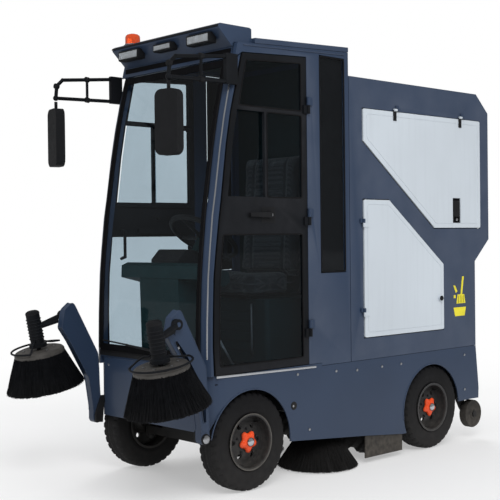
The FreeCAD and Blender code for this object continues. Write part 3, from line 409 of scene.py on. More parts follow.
def pipe(name, pts, r, mat, body, sides=12, closed=False, res=6):
    """A round tube along a smooth curve through machine-mm points, as a mesh with capped ends."""
    pts = [P(*p) for p in pts]
    path = []
    n = len(pts)
    for i in range(n - 1 if not closed else n):
        p0 = pts[(i - 1) % n] if (closed or i > 0) else pts[0] * 2 - pts[1]
        p1, p2 = pts[i], pts[(i + 1) % n]
        p3 = pts[(i + 2) % n] if (closed or i + 2 < n) else pts[-1] * 2 - pts[-2]
        for k in range(res):
            t = k / res
            path.append(0.5 * ((2 * p1) + (p2 - p0) * t + (2 * p0 - 5 * p1 + 4 * p2 - p3) * t * t + (3 * p1 - p0 - 3 * p2 + p3) * t ** 3))
    if not closed:
        path.append(pts[-1])
    v, f = [], []
    m = len(path)
    nrm = None
    for i, p in enumerate(path):
        a = path[(i - 1) % m] if (closed or i > 0) else path[0]
        b = path[(i + 1) % m] if (closed or i < m - 1) else path[-1]
        d = (b - a).normalized()
        if nrm is None:
            nrm = d.orthogonal().normalized()
        nrm = (nrm - d * nrm.dot(d)).normalized()
        bi = d.cross(nrm)
        for k in range(sides):
            a2 = 2 * math.pi * k / sides
            v.append(p + (nrm * math.cos(a2) + bi * math.sin(a2)) * (r * MM))
    segs = m if closed else m - 1
    for i in range(segs):
        j = (i + 1) % m
        for k in range(sides):
            l = (k + 1) % sides
            f.append((i * sides + k, i * sides + l, j * sides + l, j * sides + k))
    if not closed:
        f.append(tuple(reversed(range(sides))))
        f.append(tuple(range((m - 1) * sides, m * sides)))
    return add(name, v, f, mat, body, True)


def rounded(pts, r=8, n=4):
    """Closed polygon in machine mm with its corners rounded."""
    out = []
    m = len(pts)
    for i in range(m):
        p, a, b = Vector(pts[i]), Vector(pts[i - 1]), Vector(pts[(i + 1) % m])
        t = min(r, (a - p).length * 0.45, (b - p).length * 0.45)
        p0, p1 = p + (a - p).normalized() * t, p + (b - p).normalized() * t
        for k in range(n + 1):
            u = k / n
            out.append(tuple(p0.lerp(p, u).lerp(p.lerp(p1, u), u)))
    return out


def turned(name, profile, origin, direction, mat, body, steps=40, bevel=0.0):
    """A lathe piece; profile in mm, origin in machine mm."""
    v, f = lathe([(r * MM, h * MM) for r, h in profile], steps)
    o = add(name, tf(v, axis_mat(P(*origin), direction)), f, mat, body, True, bevel)
    return o


# ------------------------------------------------------------------------------ tyres and wheels
def make_tyre(name, s, y, body, node):
    """Rubber tyre with a moulded block tread, shoulder lugs and sidewall rings."""
    prof = [(127.8, -50), (138, -55.5), (150, -58.5), (156, -59.8), (160, -58.6), (176, -60.0), (190, -60.0), (193, -58.8), (198, -59.6), (208, -58.4),
            (216, -56.2), (222, -53.0), (227, -48.4), (229.5, -43), (231.5, -36), (232.3, -30), (232.7, -27), (232.8, -20), (232.9, -14), (232.9, -11),
            (233.0, -4), (233.0, 4)]
    prof += [(r, -h) for r, h in reversed(prof[:-2])]
    n = len(prof)
    steps = 216
    pitch = steps // 36
    v, f = [], []
    for i in range(steps):
        a = 2 * math.pi * i / steps
        for k, (r, h) in enumerate(prof):
            d = 0.0
            if r > 221:
                side = 0 if h < 0 else pitch // 2
                ph = (i + side) % pitch
                if abs(h) > 30 and ph < 2:
                    d = 6.0 if abs(h) > 40 else 5.2
                if abs(h) <= 14.5 and abs(h) >= 10.5:
                    d = 5.5
                if 26 < abs(h) < 31:
                    d = max(d, 5.0)
                if abs(h) < 10 and ((i + (2 if h > 0 else 0)) % pitch) < 1:
                    d = 4.2
            v.append(((r - d) * MM * math.cos(a), (r - d) * MM * math.sin(a), h * MM))
    for i in range(steps):
        j = (i + 1) % steps
        for k in range(n):
            l = (k + 1) % n
            f.append((i * n + k, i * n + l, j * n + l, j * n + k))
    o = add(name, tf(v, axis_mat(P(s * 380, y, 233), (s, 0, 0))), f, "tyre", body, True)
    b = o.modifiers.new("bevel", "BEVEL")
    b.width, b.segments, b.limit_method, b.angle_limit = 0.0007, 1, "ANGLE", math.radians(40)
    w = o.modifiers.new("normals", "WEIGHTED_NORMAL")
    w.keep_sharp = True
    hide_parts(node)
    return o


def hub(name, s, y, body):
    """Orange hub centre with five lobes, a bright cap, wheel nuts and a valve."""
    v, f = [], []
    prof = [(18.4, 41.2), (22, 40.5), (34, 37), (44, 31), (47, 24), (44, 20), (26.4, 20), (26.4, 36.9), (18.4, 36.9)]
    steps = 60
    n = len(prof)
    for i in range(steps):
        a = 2 * math.pi * i / steps
        lobe = 1.0 + 0.16 * math.cos(5 * a)
        for k, (r, h) in enumerate(prof):
            rr = r * (lobe if 2 <= k <= 5 else 1.0)
            v.append((rr * MM * math.cos(a), rr * MM * math.sin(a), h * MM))
    for i in range(steps):
        j = (i + 1) % steps
        for k in range(n):
            l = (k + 1) % n
            f.append((i * n + k, i * n + l, j * n + l, j * n + k))
    m = axis_mat(P(s * 380, y, 233), (s, 0, 0))
    add(name + "_hub_centre", tf(v, m @ Matrix.Translation((0, 0, 0.0125))), f, "orange", body, True)
    turned(name + "_hub_cap", [(0, 66), (9, 66), (14, 64.5), (20.5, 60), (20.5, 52), (18.3, 52), (18.3, 57.4), (0, 57.4)], (s * 380, y, 233), (s, 0, 0), "bright", body, 32)
    bv, bf = [], []
    for i in range(5):
        a = 2 * math.pi * (i + 0.5) / 5
        pv, pf = lathe([(0, 36 * MM), (5.6 * MM, 36 * MM), (6.4 * MM, 34.5 * MM), (6.4 * MM, 27 * MM), (0, 27 * MM)], 6)
        off = len(bv)
        bv += tf(pv, m @ Matrix.Translation((0.061 * math.cos(a), 0.061 * math.sin(a), 0.0)))
        bf += [tuple(off + q for q in fc) for fc in pf]
    add(name + "_wheel_nuts", bv, bf, "frame", body, False)
    turned(name + "_rim_ring", [(119, 48), (126, 60.8), (131, 62.4), (134.4, 62.4), (134.4, 60), (128, 57.5), (122, 47)], (s * 380, y, 233), (s, 0, 0),
           "collar" if "front" in name else "rim", body, 72)
    pipe(name + "_valve", [(s * 394, y + 62, 233 + 84), (s * 412, y + 64, 233 + 86), (s * 424, y + 66, 233 + 88)], 3.2, "rubber", body, 8)


for s, side in ((1, "left"), (-1, "right")):
    for pos, y in (("front", -695), ("rear", 695)):
        body = "%s_%s_wheel" % (side, pos)
        make_tyre("%s_%s_tyre_tread" % (side, pos), s, y, body, "%s_%s_tyre" % (side, pos))
        hub("%s_%s" % (side, pos), s, y, body)


# ------------------------------------------------------------------------------ bristles
def strand(v, f, p, q, r, seed_dir):
    """One tapered bristle from p to q."""
    d = (q - p).normalized()
    a = d.cross(seed_dir)
    if a.length < 1e-4:
        a = d.orthogonal()
    a.normalize()
    b = d.cross(a)
    o = len(v)
    mid = (p + q) * 0.5 + a * (q - p).length * 0.02
    for c, rr in ((p, r), (mid, r * 0.9), (q, r * 0.55)):
        for k in range(3):
            t = 2 * math.pi * k / 3
            v.append(c + (a * math.cos(t) + b * math.sin(t)) * rr)
    for k in range(3):
        l = (k + 1) % 3
        f.append((o + k, o + l, o + 3 + l, o + 3 + k))
        f.append((o + 3 + k, o + 3 + l, o + 6 + l, o + 6 + k))
    f.append((o + 2, o + 1, o))
    f.append((o + 6, o + 7, o + 8))


def disc_brush(name, origin, direction, top_r, bot_r, top_h, bot_h, inner_top, body, node, count, seed, collar=True):
    """Ribbed bristle skirt with loose outer strands under a moulded ring."""
    rnd = random.Random(seed)
    m = axis_mat(P(*origin), direction)
    v, f = [], []
    tufts = 64
    steps = tufts * 4
    prof = [(inner_top, top_h), (top_r - 3, top_h), (top_r + (bot_r - top_r) * 0.30 - 3, top_h + (bot_h - top_h) * 0.42),
            (bot_r - 9, bot_h + 5), (bot_r - 26, bot_h + 3), (top_r * 0.9, top_h + (bot_h - top_h) * 0.42), (inner_top, top_h + (bot_h - top_h) * 0.12)]
    n = len(prof)
    jit = [rnd.uniform(-1, 1) for _ in range(tufts)]
    for i in range(steps):
        a = 2 * math.pi * i / steps
        rib = (1.0, 0.35, -0.9, 0.35)[i % 4]
        for k, (r, h) in enumerate(prof):
            dr = rib * (0.8 if k == 1 else 2.2 if k == 2 else 3.2 if k == 3 else 0) + (jit[i // 4] * 2.0 if k in (3, 4) else 0)
            dh = jit[i // 4] * 2.5 if k in (3, 4) else 0
            v.append(((r + dr) * MM * math.cos(a), (r + dr) * MM * math.sin(a), (h + dh) * MM))
    for i in range(steps):
        j = (i + 1) % steps
        for k in range(n):
            l = (k + 1) % n
            f.append((i * n + k, i * n + l, j * n + l, j * n + k))
    core = add(name + "_skirt", tf(v, m), f, "bristle", body, True)
    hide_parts(node)
    v, f = [], []
    for i in range(count):
        a = 2 * math.pi * (i + rnd.uniform(-0.3, 0.3)) / count
        r0 = top_r - rnd.uniform(1, 8)
        r1 = bot_r - rnd.uniform(1, 16)
        h1 = bot_h + rnd.uniform(1, 9)
        b2 = a + rnd.gauss(0, 0.025)
        p = Vector((r0 * math.cos(a), r0 * math.sin(a), top_h - 1)) * MM
        q = Vector((r1 * math.cos(b2), r1 * math.sin(b2), h1)) * MM
        strand(v, f, m @ p, m @ q, 0.0011, Vector((0.3, 0.2, 1)))
    add(name + "_bristles", v, f, "bristle", body, True)
    if collar:
        turned(name + "_ring", [(inner_top, top_h + 12), (top_r - 16, top_h + 14), (top_r - 5, top_h + 10), (top_r + 2, top_h + 2), (top_r + 3, top_h - 14),
                                (top_r - 1, top_h - 15), (top_r - 3, top_h - 1), (inner_top, top_h - 1)], origin, direction, "collar", body, 72, 0.0015)
        bv, bf = [], []
        for i in range(6):
            a = 2 * math.pi * i / 6
            pv, pf = lathe([(0, (top_h + 19) * MM), (5 * MM, (top_h + 19) * MM), (6 * MM, (top_h + 17.5) * MM), (6 * MM, (top_h + 12) * MM), (0, (top_h + 12) * MM)], 6)
            off = len(bv)
            bv += tf(pv, m @ Matrix.Translation((0.075 * math.cos(a), 0.075 * math.sin(a), 0)))
            bf += [tuple(off + q for q in fc) for fc in pf]
        add(name + "_ring_bolts", bv, bf, "steel", body, False)


t11 = math.radians(11)
for s, side in ((1, "left"), (-1, "right")):
    disc_brush(side + "_front_brush", (s * 488, -1262, 640), (0, -math.sin(t11), math.cos(t11)), 122, 197, -2, -188, 12, side + "_front_brush_disc",
               side + "_front_brush", 900, 11 + s)
    disc_brush(side + "_mid_brush", (s * 274, -69, 0), (0, 0, 1), 100, 214, 176, 2, 14, side + "_mid_brush_disc", side + "_mid_brush", 900, 21 + s)

rnd = random.Random(5)
v, f = [], []
steps, rows = 96, 60
for i in range(steps):
    a = 2 * math.pi * i / steps
    for k in range(rows):
        x = -342 + 684 * k / (rows - 1)
        g = math.sin(6 * a + k * 0.55)
        r = 116 + (8 if g > 0 else -10)
        v.append((r * MM * math.cos(a), r * MM * math.sin(a), x * MM))
for i in range(steps):
    j = (i + 1) % steps
    for k in range(rows - 1):
        f.append((i * rows + k, i * rows + k + 1, j * rows + k + 1, j * rows + k))
o = len(v)
for i in range(steps):
    a = 2 * math.pi * i / steps
    for x in (-342, 342):
        v.append((16.5 * MM * math.cos(a), 16.5 * MM * math.sin(a), x * MM))
for i in range(steps):
    j = (i + 1) % steps
    f.append((o + 2 * i, o + 2 * j, o + 2 * j + 1, o + 2 * i + 1))
    f.append((i * rows, j * rows, o + 2 * j, o + 2 * i))
    f.append((i * rows + rows - 1, o + 2 * i + 1, o + 2 * j + 1, j * rows + rows - 1))
mroll = axis_mat(P(0, 330, 131), (1, 0, 0))
core = add("roller_brush_core", tf(v, mroll), f, "bristle", "roller", True)
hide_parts("roller_brush")
v, f = [], []
for i in range(1500):
    k = rnd.random()
    x = -340 + 680 * k
    a = (i % 6) * math.pi / 3 - (k * (rows - 1) * 0.55) / 6 + math.pi / 12 + rnd.gauss(0, 0.07)
    p = Vector((114 * math.cos(a), 114 * math.sin(a), x)) * MM
    q = Vector((rnd.uniform(125, 129.5) * math.cos(a + 0.02), rnd.uniform(125, 129.5) * math.sin(a + 0.02), x + rnd.uniform(-4, 4))) * MM
    strand(v, f, mroll @ p, mroll @ q, 0.0013, Vector((0.3, 1, 0.2)))
add("roller_brush_bristles", v, f, "bristle", "roller", True)


# ------------------------------------------------------------------------------ camera, light, floor
az, pi_, ro = math.radians(46.9804), math.radians(-0.65167), math.radians(-0.6603)
fw = Vector((-math.sin(az) * math.cos(pi_), math.cos(az) * math.cos(pi_), math.sin(pi_)))
rt = Vector((math.cos(az), math.sin(az), 0))
up = rt.cross(fw)
r2 = rt * math.cos(ro) + up * math.sin(ro)
u2 = up * math.cos(ro) - rt * math.sin(ro)
cd = bpy.data.cameras.new("camera")
cam = bpy.data.objects.new("camera", cd)
COL.objects.link(cam)
cam.matrix_world = Matrix(((r2.x, u2.x, -fw.x, 4.01810), (r2.y, u2.y, -fw.y, -4.02771 + YO), (r2.z, u2.z, -fw.z, 1.18983), (0, 0, 0, 1)))
cd.sensor_width = 36
cd.lens = 75.202
cd.clip_end = 200
SC.camera = cam

fl = bpy.data.meshes.new("floor")
fl.from_pydata([(-60, -60, 0), (60, -60, 0), (60, 60, 0), (-60, 60, 0)], [], [(0, 1, 2, 3)])
floor = bpy.data.objects.new("floor", fl)
COL.objects.link(floor)
fm = shader("floor_paint", (0.90, 0.90, 0.905), 0.8, 0.0, 0.012, 0.8, 0.02, 60, spec=0.15)
nt = fm.node_tree
geo = nt.nodes.new("ShaderNodeNewGeometry")
ln = nt.nodes.new("ShaderNodeVectorMath")
ln.operation = "LENGTH"
nt.links.new(geo.outputs["Position"], ln.inputs[0])
fd = nt.nodes.new("ShaderNodeMapRange")
fd.interpolation_type = "SMOOTHSTEP"
fd.inputs["From Min"].default_value = 1.6
fd.inputs["From Max"].default_value = 5.5
nt.links.new(ln.outputs["Value"], fd.inputs["Value"])
fd.inputs["To Min"].default_value = 0.38
lp = nt.nodes.new("ShaderNodeLightPath")
es = nt.nodes.new("ShaderNodeMapRange")
es.inputs["To Min"].default_value = 0.45
es.inputs["To Max"].default_value = 1.0
nt.links.new(lp.outputs["Is Camera Ray"], es.inputs["Value"])
em = nt.nodes.new("ShaderNodeEmission")
nt.links.new(es.outputs["Result"], em.inputs["Strength"])
fx = nt.nodes.new("ShaderNodeMixShader")
nt.links.new(fd.outputs["Result"], fx.inputs["Fac"])
nt.links.new(nt.nodes["Principled BSDF"].outputs["BSDF"], fx.inputs[1])
nt.links.new(em.outputs["Emission"], fx.inputs[2])
nt.links.new(fx.outputs["Shader"], nt.nodes["Material Output"].inputs["Surface"])
fl.materials.append(fm)

w = bpy.data.worlds.new("world")
SC.world = w
w.use_nodes = True
bg = w.node_tree.nodes["Background"]
bg.inputs["Color"].default_value = (1.0, 1.0, 1.0, 1)
wl = w.node_tree.nodes.new("ShaderNodeLightPath")
ws = w.node_tree.nodes.new("ShaderNodeMapRange")
ws.inputs["To Min"].default_value = 0.62
ws.inputs["To Max"].default_value = 1.0
w.node_tree.links.new(wl.outputs["Is Camera Ray"], ws.inputs["Value"])
wg = w.node_tree.nodes.new("ShaderNodeMath")
wg.operation = "MULTIPLY_ADD"
wg.inputs[1].default_value = -0.36
w.node_tree.links.new(wl.outputs["Is Glossy Ray"], wg.inputs[0])
w.node_tree.links.new(ws.outputs["Result"], wg.inputs[2])
w.node_tree.links.new(wg.outputs["Value"], bg.inputs["Strength"])


def area(name, loc, target, size, power, col=(1, 1, 1), size_y=None):
    d = bpy.data.lights.new(name, "AREA")
    d.energy = power
    d.color = col
    d.size = size
    if size_y:
        d.shape = "RECTANGLE"
        d.size_y = size_y
    o = bpy.data.objects.new(name, d)
    COL.objects.link(o)
    o.location = loc
    o.rotation_euler = (Vector(target) - Vector(loc)).to_track_quat("-Z", "Y").to_euler()
    o.visible_glossy = False
    return o


area("key", (4.8, -3.6, 5.2), (0, 0, 1.0), 3.0, 230)
area("front_fill", (-3.6, -5.0, 3.2), (0, -0.6, 1.0), 2.6, 60, (0.96, 0.98, 1.0))
area("side_fill", (5.5, 2.2, 2.6), (0, 0.3, 1.0), 2.4, 70)
area("back_rim", (-4.0, 4.0, 4.0), (0, 0.3, 1.0), 2.6, 120)
SC.view_settings.view_transform = "Standard"
SC.view_settings.look = "None"


# ------------------------------------------------------------------------------ cab exterior
WS = [(-775, 2024), (-808, 1895), (-841, 1752), (-870, 1600), (-900, 1420), (-918, 1307), (-932, 1180), (-943, 1087), (-952, 960), (-957, 883),
      (-961, 760), (-963, 632)]
PF = [(-770, 2029), (-808, 1895), (-841, 1752), (-868, 1608), (-900, 1400), (-918, 1297), (-936, 1138), (-948, 1011), (-957, 820), (-960, 693),
      (-962, 562)]
DF = [(-726, 2053), (-761, 1913), (-798, 1773), (-826, 1623), (-861, 1370), (-876, 1277), (-895, 1138), (-910, 1011), (-917, 820), (-919, 693),
      (-914, 566)]


def interp(curve, z):
    for (y0, z0), (y1, z1) in zip(curve, curve[1:]):
        if z1 <= z <= z0:
            t = (z - z0) / (z1 - z0)
            return y0 + (y1 - y0) * t
    return curve[0][0] if z > curve[0][1] else curve[-1][0]


def ribbon(name, path, half, thick, mat, body, bevel=0.001):
    """A flat strip along a path of (centre, side direction, up direction) triples in machine mm."""
    v, f = [], []
    for c, sd, nm in path:
        c, sd, nm = Vector(c), Vector(sd), Vector(nm)
        for a, b in ((-half, 0), (half, 0), (half, thick), (-half, thick)):
            v.append(P(*(c + sd * a + nm * b)))
    for i in range(len(path) - 1):
        for k in range(4):
            l = (k + 1) % 4
            f.append((i * 4 + k, i * 4 + l, i * 4 + 4 + l, i * 4 + 4 + k))
    f.append((3, 2, 1, 0))
    e = 4 * (len(path) - 1)
    f.append((e, e + 1, e + 2, e + 3))
    return add(name, v, f, mat, body, True, bevel)


zs = [2022, 1960, 1895, 1820, 1752, 1680, 1608, 1500, 1400, 1297, 1210, 1138, 1070, 1011, 920, 820, 693, 640]
for s, side in ((1, "left"), (-1, "right")):
    # black glazing border inside the windscreen edge, rubber bead between glass and pillar
    ribbon(side + "_screen_border", [((s * 377, interp(WS, z) - 0.6, z), (1, 0, 0), (0, -1, 0)) for z in zs], 14, 1.2, "dark", "chassis", 0.0003)
    pipe(side + "_screen_seal", [(s * 392.5, interp(WS, z) - 3, z) for z in zs], 4.2, "rubber", "chassis", 10, res=2)
    # bright moulding along the pillar
    ribbon(side + "_pillar_moulding", [((s * 424, interp(PF, z) + 13, z), (0.70 * s, 0.71, 0), (0.71 * s, -0.70, 0)) for z in zs], 3.6, 3.0, "bright",
           "chassis", 0.001)
    # door opening seal
    pipe(side + "_door_seal", [(s * 441.5, interp(DF, z) + 1, z) for z in [2045, 1980, 1913, 1840, 1773, 1700, 1623, 1500, 1370, 1277, 1138, 1011, 820, 693, 575]],
         2.6, "rubber", "chassis", 8, res=2)
    # sill trim strips
    extrude_yz(side + "_sill_trim", [(-908, 552), (-250, 541), (-250, 551), (-908, 563)], s * 440.2, s * 445, "bright", "chassis", 0.0012)
    # quarter window rubber frame
    pipe(side + "_quarter_seal", rounded([(s * 439, y, z) for y, z in ((-199, 1016), (-20, 1016), (-20, 2095), (-199, 2095))], 14), 4.0, "rubber", "chassis", 8,
         closed=True, res=1)
    extrude_yz(side + "_quarter_shade", [(-198, 1015), (-21, 1015), (-21, 2096), (-198, 2096)], s * 425.5, s * 427.5, "dark", "chassis", 0.0004)
    # rain gutter above the door
    pipe(side + "_gutter", [(s * 440, -716, 2092), (s * 441, -560, 2098), (s * 441, -300, 2108), (s * 441, -20, 2120)], 4.0, "slate", "chassis", 8)
    # mirror glass and head rim
    th = math.radians(13) * s
    c, sn = math.cos(th), math.sin(th)
    cx, cy = s * 449, -1171
    v = []
    pts = []
    for i in range(48):
        a = 2 * math.pi * i / 48
        rx, rz = 52, 133
        px = math.copysign(abs(math.cos(a)) ** 0.38, math.cos(a)) * rx
        pz = math.copysign(abs(math.sin(a)) ** 0.25, math.sin(a)) * rz
        pts.append((px, pz))
    for off in (23.0, 25.2):
        for px, pz in pts:
            v.append(P(cx + px * c - off * sn, cy + px * sn + off * c, 1700 + pz))
    n = 48
    f = [tuple(range(n)), tuple(range(2 * n - 1, n - 1, -1))] + [(i, (i + 1) % n, n + (i + 1) % n, n + i) for i in range(n)]
    add(side + "_mirror_glass", v, f, "mirror", side + "_mirror", True, 0.0006)
    pipe(side + "_mirror_bead", [(cx + px * 1.04 * c - 23.5 * sn, cy + px * 1.04 * sn + 23.5 * c, 1700 + pz * 1.015) for px, pz in pts[::2]], 2.8, "rubber",
         side + "_mirror", 8, closed=True, res=3)
    # bracket clamps
    for i, (y, z) in enumerate(((-1166, 1958), (-984, 2008), (-984, 1904))):
        turned("%s_bracket_clamp_%d" % (side, i), [(0, -11), (12.5, -11), (13.5, -9), (13.5, 9), (12.5, 11), (0, 11)], (s * 449, y, z), (0, 1, -0.1), "plastic", "chassis", 24)
    # service hatch latch: dark recess with a paddle; round cam lock on the lower hatch
    slab(side + "_latch_tray", (s * 438.2, 897, 1264), (s * 440.8, 969, 1405), "dark", side + "_upper_hatch_leaf", 0.0008)
    slab(side + "_latch_paddle", (s * 440.9, 906, 1300), (s * 445.5, 960, 1392), "plastic", side + "_upper_hatch_leaf", 0.0022)
    turned(side + "_latch_key", [(0, 447.6), (7, 447.6), (8, 446.6), (8, 441), (0, 441)], (0, 933, 1283), (s, 0, 0), "steel", side + "_upper_hatch_leaf", 24)
    turned(side + "_lower_latch_ring", [(0, 459), (9, 459), (10, 458), (10, 456.2), (0, 456.2)], (0, 764, 840), (s, 0, 0), "steel", side + "_lower_hatch_leaf", 24)
    turned(side + "_lower_latch_knob", [(0, 465), (11, 464.4), (14, 462), (14, 458), (0, 458)], (0, 764, 840), (s, 0, 0), "plastic", side + "_lower_hatch_leaf", 28)
    # dark straps over the hatch hinges
    for i, y in enumerate((391, 979)):
        slab("%s_upper_strap_%d" % (side, i), (s * 445.1, y - 23.4, 1811), (s * 450.4, y + 0.8, 1869), "plastic", side + "_upper_hatch_leaf", 0.0012)
    # hatch press lines
    for nm, poly, body in (("upper", [(150, 1834), (1140, 1834), (1140, 1262), (738, 1262), (150, 1708)], side + "_upper_hatch_leaf"),
                           ("lower", [(148, 1360), (320, 1360), (778, 1019), (778, 690), (148, 690)], side + "_lower_hatch_leaf")):
        pipe("%s_%s_hatch_bead" % (side, nm), rounded([(s * 445.2, y, z) for y, z in poly], 14), 1.5, "white", body, 6, closed=True, res=1)


# ------------------------------------------------------------------------------ front: windscreen band, visor lamps, beacon, arms
ribbon("screen_border_low", [((x, -963.6, 648), (0, 0, 1), (0, -1, 0)) for x in (-388, -200, 0, 200, 388)], 18, 1.4, "dark", "chassis", 0.0003)
ribbon("screen_border_top", [((x, interp(WS, 2006) - 0.6, 2006), (0, 0.25, 0.97), (0, -1, 0.2)) for x in (-388, -200, 0, 200, 388)], 18, 1.4, "dark", "chassis",
       0.0003)
pipe("screen_seal_low", [(x, -965, 628) for x in (-392, -200, 0, 200, 392)], 4.5, "rubber", "chassis", 10)
slab("cowl_strip", (-392, -967.5, 606), (392, -962.5, 624), "plastic", "chassis", 0.002)
for i, (x0, x1, z0, z1) in enumerate(((190, 355, 2100, 2150), (-355, -190, 2100, 2150), (-70, 70, 2108, 2146))):
    nm = ("left", "right", "centre")[i]
    yf = -852 if i < 2 else -850
    pipe(nm + "_lamp_bezel", rounded([(x, yf - 1, z) for x, z in ((x0 + 4, z0 + 4), (x1 - 4, z0 + 4), (x1 - 4, z1 - 4), (x0 + 4, z1 - 4))], 6), 3.2, "plastic", "chassis", 8,
         closed=True, res=1)
    v, f = [], []
    nx, nz = 40, 12
    for a in range(nx + 1):
        for b in range(nz + 1):
            x = x0 + 8 + (x1 - x0 - 16) * a / nx
            z = z0 + 8 + (z1 - z0 - 16) * b / nz
            bulge = 3.2 * (1 - (2 * a / nx - 1) ** 2) * (1 - (2 * b / nz - 1) ** 2) + (0.9 if a % 4 < 2 else 0)
            v.append(P(x, yf - 2.6 - bulge, z))
    for a in range(nx):
        for b in range(nz):
            k = a * (nz + 1) + b
            f.append((k, k + 1, k + nz + 2, k + nz + 1))
    o = add(nm + "_lamp_lens", v, f, "lamp", "chassis", True)
    sd = o.modifiers.new("wall", "SOLIDIFY")
    sd.thickness = 0.0012
    sd.offset = 0
    if i < 2:
        for j in range(3):
            turned("%s_lamp_reflector_%d" % (nm, j), [(0, 0.3), (12, 0.3), (15, 1.5), (16, 1.3), (16, 0), (0, 0)], (x0 + 32 + j * 50, yf + 0.1, (z0 + z1) / 2),
                   (0, -1, 0), "mirror", "chassis", 28)
ribbon("visor_edge_trim", [((x, -849, 2170), (0, 0.25, 0.97), (0, -1, 0)) for x in (-414, -200, 0, 200, 414)], 5, 3, "plastic", "chassis", 0.001)
slab("visor_under_panel", (-410, -770, 2030), (410, -766, 2074), "dark", "chassis", 0.001)
for i, x in enumerate((-390, -130, 130, 390)):
    turned("visor_screw_%d" % i, [(0, 3.2), (5, 2.6), (7, 0.6), (7, 0), (0, 0)], (x, -700, 2182), (0, 0, 1), "steel", "chassis", 16)
# beacon: black foot, ribbed dome, bright collar and cable
turned("beacon_foot", [(0, 6), (46, 6), (49, 3), (50, 0), (0, 0)], (-330, -780, 2182.6), (0, 0, 1), "plastic", "chassis", 48)
v, f = [], []
prof = [(0, 10), (37, 10), (38, 14), (37.5, 46), (35, 55), (28, 61.5), (16, 65), (0, 66)]
st = 72
for i in range(st):
    a = 2 * math.pi * i / st
    for k, (r, h) in enumerate(prof):
        rr = r + (0.9 if (i % 4 < 2 and 1 < k < 5) else 0)
        v.append((rr * MM * math.cos(a), rr * MM * math.sin(a), h * MM))
n = len(prof)
for i in range(st):
    j = (i + 1) % st
    for k in range(n - 1):
        f.append((i * n + k, i * n + k + 1, j * n + k + 1, j * n + k))
dome = add("beacon_dome", tf(v, Matrix.Translation(P(-330, -780, 2182.6))), f, "lens", "chassis", True)
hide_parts("beacon")
turned("beacon_collar", [(0, 12), (40, 12), (41, 10), (41, 5), (0, 5)], (-330, -780, 2182.6), (0, 0, 1), "bright", "chassis", 48)
pipe("beacon_cable", [(-330, -730, 2184), (-322, -690, 2186), (-300, -655, 2184), (-290, -640, 2176)], 3.2, "rubber", "chassis", 8)

